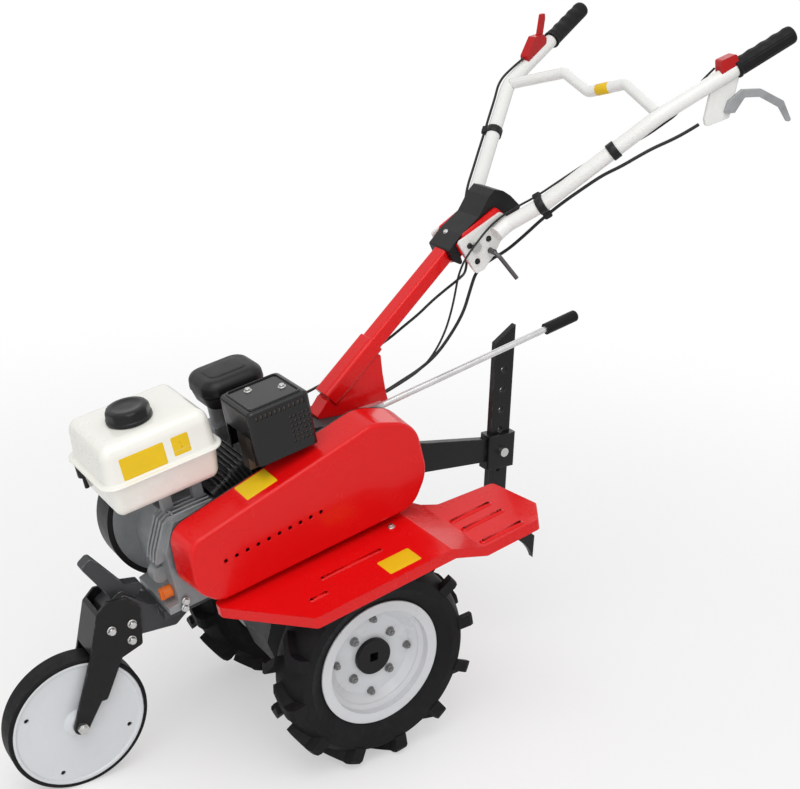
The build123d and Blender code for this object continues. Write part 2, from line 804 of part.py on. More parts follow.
# Handle column: a square tube in a cast foot on the gearbox
column_length = math.dist(column_foot, column_end)
column_cos = (column_foot[0] - column_end[0]) / column_length
column_sin = (column_end[1] - column_foot[1]) / column_length
sleeve_wall = 4.0
sleeve_length = 128.0
tower_half = 17.0
column_plane = Plane(
    origin=place(column_foot[0], 0, column_foot[1]), x_dir=(0, 1, 0), z_dir=(-column_cos, 0, column_sin)
)
with BuildPart() as handle_column:
    with BuildSketch(column_plane):
        RectangleRounded(column_width, column_depth, 5)
        RectangleRounded(column_width - 5, column_depth - 5, 3, mode=Mode.SUBTRACT)
    extrude(amount=column_length)
save(handle_column.part, "handle_column")


def column_bore(start, length):
    """The space that the column takes in the pieces round it."""
    with BuildPart() as bore:
        with BuildSketch(column_plane.offset(start)):
            RectangleRounded(column_width + 2 * seat_gap, column_depth + 2 * seat_gap, 5)
        extrude(amount=length)
    return bore.part


with BuildPart() as handle_tower:
    with BuildSketch(side(tower_half)):
        with BuildLine():
            FilletPolyline(
                (26, gearbox_top + seat_gap), (-126, gearbox_top + seat_gap), (-117, gearbox_top + 32),
                (-110, gearbox_top + 64), (-104, gearbox_top + 104), (-30, gearbox_top + 52),
                (4, gearbox_top + 30), (12, gearbox_top + 18), close=True, radius=4,
            )
        make_face()
    extrude(amount=2 * tower_half)
    with BuildSketch(column_plane.offset(-sleeve_wall)):
        RectangleRounded(column_width + 2 * sleeve_wall, column_depth + 2 * sleeve_wall, 8)
    extrude(amount=sleeve_length)
    fillet(handle_tower.faces().sort_by(Axis(place(0, 0, 0), (-column_cos, 0, column_sin)))[-1].edges(), 2)
    add(column_bore(-seat_gap, sleeve_length + 20), mode=Mode.SUBTRACT)
save(handle_tower.part, "handle_tower")

# Head of the column: a folded steel lug between the handlebar's two plates
clamp_swing = math.hypot(clamp_x - pivot_x, clamp_z - pivot_z)
clamp_angle = math.degrees(math.atan2(clamp_z - pivot_z, clamp_x - pivot_x)) % 360
swing_down = 25.0
swing_up = 10.0
slot_slack = 3.0


def side_outline(points, radius):
    """A closed outline with rounded corners, in a plane's own axes."""
    with BuildSketch() as outline:
        with BuildLine():
            FilletPolyline(*points, close=True, radius=radius)
        make_face()
    return outline.sketch


def clamp_slot():
    """The curved slot that the clamp bolt runs in while the handlebar swings."""
    start = clamp_angle - swing_up - slot_slack
    with BuildSketch() as slot:
        arc = CenterArc((pivot_x, pivot_z), clamp_swing, start, swing_up + swing_down + 2 * slot_slack)
        SlotArc(arc=arc, height=2 * clamp_radius + slot_slack)
    return slot.sketch


head_outline = (
    (-257, 891), (-326, 934), (-348, 918), (-350, 900), (-321, 847), (-302, 825), (-287, 820), (-256, 858),
)
web_outline = ((-246, 873), (-262, 889), (-322, 926), (-336, 916), (-300, 892), (-270, 874), (-258, 852))
with BuildPart() as column_head:
    with BuildSketch(side(head_half)):
        add(side_outline(head_outline, 6))
    extrude(amount=2 * head_half)
    with BuildSketch(side(head_half - lug_thickness)):
        with Locations((-300, 870)):
            Rectangle(200, 200)
    extrude(amount=2 * head_half - 2 * lug_thickness, mode=Mode.SUBTRACT)
    with BuildSketch(side(head_half - 1)):
        add(side_outline(web_outline, 3))
    extrude(amount=2 * head_half - 2)
    with BuildSketch(side(head_half + 1)):
        with Locations((pivot_x, pivot_z)):
            Circle(pivot_radius + running_clearance)
    extrude(amount=2 * head_half + 2, mode=Mode.SUBTRACT)
    with BuildSketch(side(head_half + 1)):
        add(clamp_slot())
    extrude(amount=2 * head_half + 2, mode=Mode.SUBTRACT)
    add(column_bore(-1, column_length + 1 + seat_gap), mode=Mode.SUBTRACT)
save(column_head.part, "column_head")

# Hood: a moulding round the top of the column, between the head's two lugs
hood_half = 32.0
hood_outline = (
    (-232, 864), (-257, 890), (-293, 918), (-314, 953), (-326, 965), (-345, 961), (-362, 951), (-386, 930),
    (-379, 914), (-350, 905), (-300, 891), (-264, 874), (-258, 850), (-266, 832), (-244, 842),
)
with BuildPart() as column_cover:
    with BuildSketch(side(hood_half)):
        add(side_outline(hood_outline, 4))
    extrude(amount=2 * hood_half)
    add(column_bore(-1, column_length + 1 + seat_gap), mode=Mode.SUBTRACT)
    add(column_head.part, mode=Mode.SUBTRACT)
save(column_cover.part.solids().sort_by(SortBy.VOLUME)[-1], "column_cover")

# Handlebar: two splayed tubes, each welded to a plate beside the column's head, and a cranked crossbar
plate_outline = (
    (-242, 879), (-333, 926), (-350, 915), (-352, 900), (-322, 846), (-303, 824), (-286, 818),
)
plate_inner_y = head_half + 0.5
plate_wall = 5.0


def vec(point):
    return Vector(*place(*point))


def flip(points, sign):
    """Points of the left side, taken to the right side for a sign of -1."""
    return [vec((x, sign * y, z)) for x, y, z in points]


grip_direction = (vec(bar_end) - vec(bar_joint)).normalized()
grip_cap = 5.0
bar_bends = [30, 60, 90]


def bar_route(sign):
    """The route of one handlebar tube, up to the inside of its grip's end."""
    last = vec(bar_end) - grip_direction * grip_cap
    points = [vec(bar_foot), vec(bar_heel), vec(bar_knee), vec(bar_joint), last]
    return [Vector(p.X, sign * p.Y, p.Z) for p in points]


def make_handle(sign):
    with BuildPart() as handle:
        add(rod(bar_route(sign), bar_bends, bar_radius))
        with BuildSketch(side(sign * plate_inner_y)):
            add(side_outline(plate_outline, 6))
            with Locations((pivot_x, pivot_z)):
                Circle(pivot_radius + running_clearance, mode=Mode.SUBTRACT)
            with Locations((clamp_x, clamp_z)):
                Circle(clamp_radius + seat_gap, mode=Mode.SUBTRACT)
        extrude(amount=-sign * plate_wall)
    return handle.part


handles = {sign: make_handle(sign) for sign in (1, -1)}
save(handles[1], "handlebar_left")
save(handles[-1], "handlebar_right")

crossbar_bend = (bar_joint[0] - 33.0, 85.5, bar_joint[2] + 36.0)
crossbar_middle = (bar_joint[0] - 22.0, 0.0, bar_joint[2] + 11.5)
with BuildPart() as crossbar:
    crossbar_points = flip([bar_joint, crossbar_bend], 1) + [vec(crossbar_middle)]
    crossbar_points += flip([crossbar_bend, bar_joint], -1)
    add(rod(crossbar_points, [22, 22, 22], crossbar_radius))
    add(rod(bar_route(1), bar_bends, bar_radius + 0.1), mode=Mode.SUBTRACT)
    add(rod(bar_route(-1), bar_bends, bar_radius + 0.1), mode=Mode.SUBTRACT)
save(crossbar.part.solids().sort_by(SortBy.VOLUME)[-1], "crossbar")

grip_clearance = 0.15


def make_grip(sign):
    end = flip([bar_end], sign)[0]
    direction = Vector(grip_direction.X, sign * grip_direction.Y, grip_direction.Z)
    with BuildPart() as grip:
        with BuildSketch(Plane(origin=end, z_dir=-direction)):
            Circle(grip_radius)
        extrude(amount=grip_length)
        fillet(grip.faces().sort_by(Axis.X)[0].edges(), 6)
        with BuildSketch(Plane(origin=end - direction * (grip_cap - grip_clearance), z_dir=-direction)):
            Circle(bar_radius + grip_clearance)
        extrude(amount=grip_length, mode=Mode.SUBTRACT)
    return grip.part


save(make_grip(1), "grip_left")
save(make_grip(-1), "grip_right")


def bar_plane(sign):
    """The upright plane through one handlebar's upper run: its axes are backwards along the bar, and up."""
    origin = flip([bar_joint], sign)[0]
    along = Vector(grip_direction.X, sign * grip_direction.Y, 0).normalized()
    return Plane(origin=origin, x_dir=along, z_dir=along.cross(Vector(0, 0, 1)))


def clear_of_bar(sign):
    return rod(bar_route(sign), bar_bends, bar_radius + grip_clearance)


with BuildPart() as clutch_bracket:
    with BuildSketch(bar_plane(1).offset(-3)):
        add(side_outline(((92, 50), (146, 82), (140, 48), (132, -6), (88, -21), (84, -8)), 5))
        with Locations((126, 12)):
            Circle(4.2, mode=Mode.SUBTRACT)
    extrude(amount=6)
    add(clear_of_bar(1), mode=Mode.SUBTRACT)
    with BuildSketch(Plane(origin=vec(bar_end), z_dir=-grip_direction)):
        Circle(grip_radius + seat_gap)
    extrude(amount=grip_length + seat_gap, mode=Mode.SUBTRACT)
save(clutch_bracket.part.solids().sort_by(SortBy.VOLUME)[-1], "clutch_bracket")

with BuildPart() as clutch_lever:
    with BuildSketch(bar_plane(1).offset(3 + seat_gap)):
        add(side_outline(
            ((118, 2), (124, 24), (148, 44), (184, 45), (232, 24), (252, -10), (245, -13), (226, 12), (184, 31),
             (154, 30), (138, 4)), 3
        ))
    extrude(amount=7)
    with BuildSketch(bar_plane(1).offset(-3 - seat_gap)):
        with Locations((126, 12)):
            Circle(4)
    extrude(amount=6 + 3 * seat_gap)
save(clutch_lever.part, "clutch_lever")

with BuildPart() as throttle_lever:
    with BuildSketch(bar_plane(-1).offset(-9)):
        add(side_outline(((50, 40), (46, 52), (70, 88), (96, 92), (108, 84), (106, 70)), 4))
    extrude(amount=18)
    with BuildSketch(bar_plane(-1).offset(-3)):
        add(side_outline(((84, 80), (92, 130), (104, 132), (106, 122), (100, 80)), 3))
    extrude(amount=6)
    add(clear_of_bar(-1), mode=Mode.SUBTRACT)
save(throttle_lever.part.solids().sort_by(SortBy.VOLUME)[-1], "throttle_lever")

with BuildPart() as engine_switch:
    with BuildSketch(bar_plane(1).offset(-11)):
        add(side_outline(((104, 66), (100, 92), (128, 104), (136, 88)), 4))
    extrude(amount=22)
    add(clear_of_bar(1), mode=Mode.SUBTRACT)
    with BuildSketch(Plane(origin=vec(bar_end), z_dir=-grip_direction)):
        Circle(grip_radius + seat_gap)
    extrude(amount=grip_length + seat_gap, mode=Mode.SUBTRACT)
save(engine_switch.part.solids().sort_by(SortBy.VOLUME)[-1], "engine_switch")

# Hinge bolt and the bent clamp lever that locks the handlebar's height
bolt_half = plate_inner_y + plate_wall
with BuildPart() as pivot_bolt:
    with BuildSketch(side(bolt_half + 4)):
        with Locations((pivot_x, pivot_z)):
            Circle(pivot_radius)
    extrude(amount=2 * bolt_half + 8)
    for sign in (-1, 1):
        with BuildSketch(side(sign * (bolt_half + seat_gap))):
            with Locations((pivot_x, pivot_z)):
                RegularPolygon(10, 6)
        extrude(amount=-sign * 6)
save(pivot_bolt.part, "pivot_bolt")

with BuildPart() as clamp_lever:
    with BuildSketch(side(bolt_half + 14)):
        with Locations((clamp_x, clamp_z)):
            Circle(clamp_radius)
    extrude(amount=2 * bolt_half + 22)
    with BuildSketch(side(-bolt_half - seat_gap)):
        with Locations((clamp_x, clamp_z)):
            RegularPolygon(9, 6)
    extrude(amount=6)
    add(rod(flip([(clamp_x, bolt_half + 10, clamp_z), (clamp_x - 8, bolt_half + 20, clamp_z - 9),
                  (clamp_x - 38, bolt_half + 34, clamp_z - 48)], 1), [6], 4))
save(clamp_lever.part, "clamp_lever")

# Gear lever on the gearbox
gear_foot = (-84.0, 45.0, gearbox_top + 14.0)
gear_end = (-516.0, 58.0, 714.0)
gear_radius = 6.0
gear_grip_radius = 11.0
gear_grip_length = 74.0
gear_direction = (vec(gear_end) - vec(gear_foot)).normalized()
with BuildPart() as gear_lever:
    with BuildSketch(Plane(origin=vec(gear_foot), z_dir=gear_direction)):
        Circle(gear_radius)
    extrude(amount=(vec(gear_end) - vec(gear_foot)).length - 6)
    with BuildSketch(side(gear_foot[1] + 6)):
        with BuildLine():
            Polyline(
                (-30, gearbox_top + seat_gap), (-70, gearbox_top + seat_gap), (-96, gearbox_top + 7),
                (-92, gearbox_top + 23), (-30, gearbox_top + 15), close=True,
            )
        make_face()
    extrude(amount=12)
save(gear_lever.part, "gear_lever")

with BuildPart() as gear_lever_grip:
    with BuildSketch(Plane(origin=vec(gear_end), z_dir=-gear_direction)):
        Circle(gear_grip_radius)
    extrude(amount=gear_grip_length)
    fillet(gear_lever_grip.faces().sort_by(Axis.X)[0].edges(), 6)
    with BuildSketch(Plane(origin=vec(gear_end) - gear_direction * (6 - grip_clearance), z_dir=-gear_direction)):
        Circle(gear_radius + grip_clearance)
    extrude(amount=gear_grip_length, mode=Mode.SUBTRACT)
save(gear_lever_grip.part, "gear_lever_grip")

# Hitch arm with its socket, the drag stake in it, and the pin that holds the stake
arm_half = 7.0
pin_radius = 5.5
socket_half_x = stake_width / 2 + seat_gap + socket_wall
socket_half_y = stake_thickness / 2 + seat_gap + socket_wall
with BuildPart() as hitch_arm:
    with BuildSketch(side(arm_half)):
        with BuildLine():
            Polyline((-60, 520), (-60, 440), (stake_x + 24, 423), (stake_x + 24, 470), (-220, 490), close=True)
        make_face()
    extrude(amount=2 * arm_half)
    with BuildSketch(Plane.XY.offset(lift + socket_low)):
        with Locations((axle_x + stake_x, 0)):
            RectangleRounded(2 * socket_half_x, 2 * socket_half_y, 4)
    extrude(amount=socket_high - socket_low)
    with BuildSketch(Plane.XY.offset(lift + socket_low - 1)):
        with Locations((axle_x + stake_x, 0)):
            Rectangle(stake_width + 2 * seat_gap, stake_thickness + 2 * seat_gap)
    extrude(amount=socket_high - socket_low + 2, mode=Mode.SUBTRACT)
    with BuildSketch(side(0)):
        with Locations((stake_x, pin_z)):
            Circle(pin_radius + running_clearance)
    extrude(amount=40, both=True, mode=Mode.SUBTRACT)
    add(gearbox.part, mode=Mode.SUBTRACT)
save(hitch_arm.part.solids().sort_by(SortBy.VOLUME)[-1], "hitch_arm")

stake_half = stake_width / 2
with BuildPart() as drag_stake:
    with BuildSketch(side(stake_thickness / 2)):
        with BuildLine():
            Line((stake_x - stake_half, 350), (stake_x - stake_half, stake_top))
            Line((stake_x - stake_half, stake_top), (stake_x + stake_half, stake_top - 32))
            Line((stake_x + stake_half, stake_top - 32), (stake_x + stake_half, 340))
            Spline((stake_x + stake_half, 340), (stake_x - 18, 262), (-496, 183), tangents=((0, -1), (-0.35, -1)))
            Line((-496, 183), (-497, 232))
            Spline((-497, 232), (stake_x - 58, 285), (stake_x - stake_half, 350), tangents=((0.7, 0.6), (0, 1)))
        make_face()
        for step in range(7):
            with Locations((stake_x, pin_z + (step - 2) * stake_pitch)):
                Circle(stake_hole_radius, mode=Mode.SUBTRACT)
    extrude(amount=stake_thickness)
save(drag_stake.part, "drag_stake")

with BuildPart() as stake_pin:
    with BuildSketch(side(socket_half_y + 10)):
        with Locations((stake_x, pin_z)):
            Circle(pin_radius)
    extrude(amount=2 * socket_half_y + 20)
    with BuildSketch(side(socket_half_y + 10)):
        with Locations((stake_x, pin_z)):
            Circle(9)
    extrude(amount=10 - seat_gap)
save(stake_pin.part, "stake_pin")


# Cables along the handlebar and down to the machine, drawn for a joint at this place
drawn_joint_x = -533.0


def beside_bar(point):
    """Moves a route's point with the handlebar's joint, by its share of the way there from the knee."""
    share = min(max((bar_knee[0] - point[0]) / (bar_knee[0] - drawn_joint_x), 0), 1)
    return (point[0] + share * (bar_joint[0] - drawn_joint_x), point[1], point[2])


def cable(points, radius, name):
    """A cable of straight runs joined by arcs as large as the runs allow."""
    knots = [vec(beside_bar(p)) for p in points]
    radii = []
    for before, here, after in zip(knots, knots[1:], knots[2:]):
        turn = math.radians((here - before).get_angle(after - here))
        radii.append(0.45 * min((here - before).length, (after - here).length) / math.tan(turn / 2))
    solid = rod(knots, radii, radius)
    runs = sum((after - before).length for before, after in zip(knots, knots[1:]))
    share = solid.volume / (math.pi * radius ** 2 * runs)
    print(name, "smallest bend", round(min(radii), 1), "length", round(runs), "volume share", round(share, 3))
    save(solid, name)


clutch_cable_points = (
    (-605, 236, 1094), (-582, 229, 1080), (-556, 221, 1067), (-528, 212, 1055), (-502, 202, 1040),
    (-481, 186, 1022), (-460, 163, 1004), (-436, 142, 979), (-412, 118, 951), (-390, 92, 919),
    (-374, 64, 884), (-356, 38, 852), (-331, 23, 834), (-303, 20, 816), (-290, 22, 782), (-276, 24, 741),
    (-251, 20, 699), (-222, 20, 667), (-190, 14, 642), (-156, 8, 624), (-122, 3, 606),
)
switch_wire_points = (
    (-630.5, 235, 1189), (-617, 217, 1164), (-593, 217, 1134), (-566, 219, 1110), (-544, 216, 1097),
    (-521, 196, 1072), (-496, 165, 1048), (-462, 136, 1029), (-430, 118, 1004), (-400, 98, 977),
    (-378, 83, 957), (-356, 60, 937), (-335, 48, 921), (-306, 48, 903), (-274, 54, 877), (-250, 54, 849),
    (-243, 48, 820), (-245, 40, 792), (-240, 38, 757), (-228, 38, 717), (-208, 36, 679), (-184, 31, 650),
    (-154, 22, 629), (-121, 14, 611),
)
throttle_cable_points = (
    (-576, -228, 1158), (-542, -228, 1136), (-518, -227, 1114), (-496, -208, 1086), (-469, -187, 1057),
    (-443, -166, 1027), (-416, -145, 998), (-391, -125, 970), (-366, -108, 938), (-346, -84, 905),
    (-338, -65, 868), (-331, -50, 832), (-319, -32, 800), (-290, -14, 794), (-259, -9, 780),
    (-229, -10, 761), (-200, -9, 740), (-173, -12, 722), (-146, -16, 702), (-122, -25, 684), (-98, -35, 667),
    (-72, -39, 650), (-43, -41, 635), (-12, -44, 621), (20, -49, 608), (50, -57, 596), (79, -65, 582),
    (106, -71, 571), (133, -74, 561),
)
cable(clutch_cable_points, 3.0, "clutch_cable")
cable(throttle_cable_points, 2.5, "throttle_cable")
cable(switch_wire_points, 2.0, "switch_wire")
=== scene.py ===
"""Finishes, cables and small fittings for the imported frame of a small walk-behind tractor.

Laid out as an add-on and run as a script. Lengths are metres, in the frame's own axes: X points forward,
Y to the machine's left and Z up from the ground.
"""

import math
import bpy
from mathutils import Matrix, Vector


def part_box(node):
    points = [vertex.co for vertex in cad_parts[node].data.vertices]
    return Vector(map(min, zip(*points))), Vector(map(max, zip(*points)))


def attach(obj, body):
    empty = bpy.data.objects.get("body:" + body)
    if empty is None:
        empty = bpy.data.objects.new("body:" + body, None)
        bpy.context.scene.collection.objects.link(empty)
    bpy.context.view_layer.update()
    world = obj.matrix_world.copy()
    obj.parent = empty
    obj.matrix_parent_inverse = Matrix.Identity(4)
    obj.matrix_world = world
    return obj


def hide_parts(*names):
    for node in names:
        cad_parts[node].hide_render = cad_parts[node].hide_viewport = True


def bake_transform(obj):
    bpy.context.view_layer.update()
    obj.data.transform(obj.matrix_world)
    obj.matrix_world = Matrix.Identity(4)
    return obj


bl_info = {
    "name": "Walk-behind tractor",
    "version": (1, 0, 0),
    "blender": (4, 5, 0),
    "location": "3D View > Sidebar > Tractor",
    "description": "Dresses the frame of a small walk-behind tractor and sets up its stage",
    "category": "Object",
}

import bpy
import numpy as np
from bpy.props import FloatProperty, FloatVectorProperty, IntProperty
from mathutils import Matrix, Vector

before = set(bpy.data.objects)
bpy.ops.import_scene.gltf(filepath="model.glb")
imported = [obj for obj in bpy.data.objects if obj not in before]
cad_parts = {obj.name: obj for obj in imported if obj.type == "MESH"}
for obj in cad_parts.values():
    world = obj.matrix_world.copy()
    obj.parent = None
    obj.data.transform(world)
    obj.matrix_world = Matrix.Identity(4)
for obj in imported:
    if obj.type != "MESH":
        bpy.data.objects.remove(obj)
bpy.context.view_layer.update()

# The axle's place along the machine: every X below is given from it, in millimetres
axle_low, axle_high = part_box("wheel_axle")
axle_x = (axle_low.x + axle_high.x) * 500


def from_axle(points):
    """Points in millimetres from the axle as an array of metres in the frame."""
    return (np.array(points, float) + (axle_x, 0, 0)) / 1000


# Sizes and colours


class TractorPaints(bpy.types.PropertyGroup):
    bodywork: FloatVectorProperty(
        name="Bodywork", description="Gloss red of the belt cover, fenders and column",
        default=(0.72, 0.004, 0.005), subtype="COLOR", min=0, max=1,
    )
    handlebar: FloatVectorProperty(
        name="Handlebar", description="White enamel of the handlebar tubes and plates",
        default=(0.80, 0.80, 0.78), subtype="COLOR", min=0, max=1,
    )
    wheels: FloatVectorProperty(
        name="Wheels", description="Pale enamel of the rims and the front disc",
        default=(0.68, 0.70, 0.72), subtype="COLOR", min=0, max=1,
    )
    tank: FloatVectorProperty(
        name="Tank", description="Warm white of the fuel tank",
        default=(0.86, 0.85, 0.79), subtype="COLOR", min=0, max=1,
    )
    chassis: FloatVectorProperty(
        name="Chassis", description="Semi-gloss black of the fork, hitch and stake",
        default=(0.006, 0.006, 0.0065), subtype="COLOR", min=0, max=1,
    )


class TractorMetals(bpy.types.PropertyGroup):
    casting: FloatVectorProperty(
        name="Castings", description="Dark grey of the gearbox and the engine bed",
        default=(0.045, 0.047, 0.050), subtype="COLOR", min=0, max=1,
    )
    engine: FloatVectorProperty(
        name="Engine", description="Bare aluminium of the crankcase and the carburettor",
        default=(0.30, 0.31, 0.32), subtype="COLOR", min=0, max=1,
    )
    plated: FloatVectorProperty(
        name="Plated steel", description="Bolts and pins",
        default=(0.58, 0.58, 0.57), subtype="COLOR", min=0, max=1,
    )


class TractorRubbers(bpy.types.PropertyGroup):
    tyre: FloatVectorProperty(
        name="Tyres", description="Black of the tyres' rubber",
        default=(0.006, 0.006, 0.007), subtype="COLOR", min=0, max=1,
    )
    moulding: FloatVectorProperty(
        name="Mouldings", description="Black of the plastic covers, caps and grips",
        default=(0.006, 0.006, 0.007), subtype="COLOR", min=0, max=1,
    )
    knob: FloatVectorProperty(
        name="Oil plug", description="Orange of the oil filler plug",
        default=(0.75, 0.16, 0.02), subtype="COLOR", min=0, max=1,
    )


class TractorCables(bpy.types.PropertyGroup):
    clutch: FloatProperty(
        name="Clutch cable", description="Outside diameter of the clutch cable",
        default=0.006, min=0.002, max=0.010, unit="LENGTH",
    )
    throttle: FloatProperty(
        name="Throttle cable", description="Outside diameter of the throttle cable",
        default=0.005, min=0.002, max=0.010, unit="LENGTH",
    )
    switch: FloatProperty(
        name="Switch wire", description="Outside diameter of the engine switch's wire",
        default=0.004, min=0.002, max=0.010, unit="LENGTH",
    )
    sides: IntProperty(
        name="Smoothness", description="Steps of the surface between two points of a cable's route",
        default=10, min=4, max=24,
    )


class TractorStage(bpy.types.PropertyGroup):
    camera_place: FloatVectorProperty(
        name="Camera", description="Where the camera stands, X from the axle",
        default=(1.10075, 1.90370, 1.43039), subtype="TRANSLATION", unit="LENGTH",
    )
    camera_yaw: FloatProperty(
        name="Yaw", description="Turn of the view from straight across the machine",
        default=0.588, subtype="ANGLE", unit="ROTATION",
    )
    camera_pitch: FloatProperty(
        name="Pitch", description="How far the view looks down",
        default=0.342, subtype="ANGLE", unit="ROTATION",
    )
    camera_roll: FloatProperty(
        name="Roll", description="Turn of the picture about the line of sight",
        default=-0.035, subtype="ANGLE", unit="ROTATION",
    )
    camera_shift: FloatVectorProperty(
        name="Shift", description="The picture's middle from the line of sight, in picture widths",
        size=2, default=(-4.31 / 800, -11.44 / 800), precision=5,
    )
    camera_lens: FloatProperty(
        name="Lens", description="Focal length on a 36 mm wide sensor, in millimetres",
        default=59.99, min=10, max=300,
    )
    floor: FloatProperty(
        name="Floor", description="Radius of the round pale floor",
        default=40.0, min=2, unit="LENGTH",
    )
    key_power: FloatProperty(
        name="Key light", description="Power of the large soft lamp overhead",
        default=75.0, min=0, unit="POWER",
    )
    fill_power: FloatProperty(
        name="Fill light", description="Power of each of the two soft lamps at the front and back",
        default=14.0, min=0, unit="POWER",
    )


# Shader effects that several finishes share


def put(tree, kind, **settings):
    """Adds a node and sets its properties."""
    node = tree.nodes.new(kind)
    for key, value in settings.items():
        setattr(node, key, value)
    return node


def join(tree, source, target):
    """Links an output to an input, or sets the input where source is a plain value."""
    if isinstance(source, bpy.types.NodeSocket):
        tree.links.new(source, target)
    else:
        target.default_value = source


def maths(tree, operation, *values):
    """A Math node on sockets or numbers."""
    node = put(tree, "ShaderNodeMath", operation=operation)
    for socket, value in zip(node.inputs, values):
        join(tree, value, socket)
    return node.outputs[0]


def ranged(tree, value, low, high, to_low, to_high):
    """A smooth step from low..high to to_low..to_high."""
    node = put(tree, "ShaderNodeMapRange", interpolation_type="SMOOTHSTEP")
    for socket, item in zip(node.inputs, (value, low, high, to_low, to_high)):
        join(tree, item, socket)
    return node.outputs[0]


def mixed(tree, share, first, second, way="MIX"):
    """A colour mix by a share from 0 to 1."""
    node = put(tree, "ShaderNodeMix", data_type="RGBA", blend_type=way)
    join(tree, share, node.inputs[0])
    join(tree, first, node.inputs[6])
    join(tree, second, node.inputs[7])
    return node.outputs[2]


def noise(tree, vector, scale, detail=3.0, roughness=0.55, distortion=0.0):
    """A noise texture's value at a vector."""
    node = put(tree, "ShaderNodeTexNoise")
    join(tree, vector, node.inputs["Vector"])
    join(tree, scale, node.inputs["Scale"])
    join(tree, detail, node.inputs["Detail"])
    join(tree, roughness, node.inputs["Roughness"])
    join(tree, distortion, node.inputs["Distortion"])
    return node.outputs[0]


def effect(name, inputs, outputs):
    """An empty node group with named sockets, and its inner input and output nodes."""
    tree = bpy.data.node_groups.new(name, "ShaderNodeTree")
    for label, kind, value in inputs:
        socket = tree.interface.new_socket(name=label, in_out="INPUT", socket_type=kind)
        socket.default_value = value
    for label, kind in outputs:
        tree.interface.new_socket(name=label, in_out="OUTPUT", socket_type=kind)
    return tree, put(tree, "NodeGroupInput"), put(tree, "NodeGroupOutput")


NUMBER, SHADE = "NodeSocketFloat", "NodeSocketColor"


def build_tone():
    """Broad soft patches, a little lighter and darker, from two sizes of noise."""
    tree, given, out = effect(
        "Uneven tone",
        [("Colour", SHADE, (0.5, 0.5, 0.5, 1)), ("Amount", NUMBER, 0.06), ("Scale", NUMBER, 5.0)],
        [("Colour", SHADE), ("Value", NUMBER)],
    )
    where = put(tree, "ShaderNodeTexCoord").outputs["Object"]
    broad = noise(tree, where, given.outputs["Scale"], 2.0)
    small = noise(tree, where, maths(tree, "MULTIPLY", given.outputs["Scale"], 9.0), 4.0)
    both = maths(tree, "ADD", maths(tree, "MULTIPLY", broad, 0.65), maths(tree, "MULTIPLY", small, 0.35))
    swing = ranged(tree, both, 0.3, 0.7, -1.0, 1.0)
    factor = maths(tree, "ADD", 1.0, maths(tree, "MULTIPLY", swing, given.outputs["Amount"]))
    grey = put(tree, "ShaderNodeCombineColor")
    for socket in grey.inputs[:3]:
        join(tree, factor, socket)
    join(tree, mixed(tree, 1.0, given.outputs["Colour"], grey.outputs[0], "MULTIPLY"), out.inputs["Colour"])
    join(tree, swing, out.inputs["Value"])
    return tree


def build_dust():
    """Dust on faces that look up and splashes that fade with height above the ground."""
    tree, given, out = effect(
        "Settled dust",
        [("Colour", SHADE, (0.5, 0.5, 0.5, 1)), ("Dust", SHADE, (0.32, 0.30, 0.27, 1)),
         ("Amount", NUMBER, 0.15)],
        [("Colour", SHADE), ("Mask", NUMBER)],
    )
    places = put(tree, "ShaderNodeTexCoord")
    up = put(tree, "ShaderNodeSeparateXYZ")
    join(tree, places.outputs["Normal"], up.inputs[0])
    height = put(tree, "ShaderNodeSeparateXYZ")
    join(tree, places.outputs["Object"], height.inputs[0])
    lying = ranged(tree, up.outputs[2], 0.2, 0.95, 0.15, 1.0)
    low = ranged(tree, height.outputs[2], 0.0, 0.35, 0.9, 0.0)
    specks = ranged(tree, noise(tree, places.outputs["Object"], 70.0, 6.0, 0.7), 0.40, 0.72, 0.0, 1.0)
    clouds = ranged(tree, noise(tree, places.outputs["Object"], 9.0, 3.0), 0.35, 0.7, 0.25, 1.0)
    cover = maths(tree, "MULTIPLY", maths(tree, "ADD", lying, low), maths(tree, "MULTIPLY", specks, clouds))
    mask = maths(tree, "MINIMUM", maths(tree, "MULTIPLY", cover, given.outputs["Amount"]), 0.85)
    join(tree, mixed(tree, mask, given.outputs["Colour"], given.outputs["Dust"]), out.inputs["Colour"])
    join(tree, mask, out.inputs["Mask"])
    return tree


def build_edges():
    """Rubbed edges: one less the cosine between the surface's normal and its normal rounded over Reach."""
    tree, given, out = effect(
        "Rubbed edges",
        [("Reach", NUMBER, 0.0015), ("Amount", NUMBER, 0.5)],
        [("Mask", NUMBER)],
    )
    rounded = put(tree, "ShaderNodeBevel", samples=4)
    join(tree, given.outputs["Reach"], rounded.inputs["Radius"])
    plain = put(tree, "ShaderNodeNewGeometry").outputs["Normal"]
    turn = put(tree, "ShaderNodeVectorMath", operation="DOT_PRODUCT")
    join(tree, rounded.outputs[0], turn.inputs[0])
    join(tree, plain, turn.inputs[1])
    sharp = ranged(tree, maths(tree, "SUBTRACT", 1.0, turn.outputs["Value"]), 0.02, 0.16, 0.0, 1.0)
    where = put(tree, "ShaderNodeTexCoord").outputs["Object"]
    broken = ranged(tree, noise(tree, where, 60.0, 5.0, 0.65), 0.42, 0.62, 0.0, 1.0)
    mask = maths(tree, "MULTIPLY", sharp, maths(tree, "MULTIPLY", broken, given.outputs["Amount"]))
    join(tree, mask, out.inputs["Mask"])
    return tree


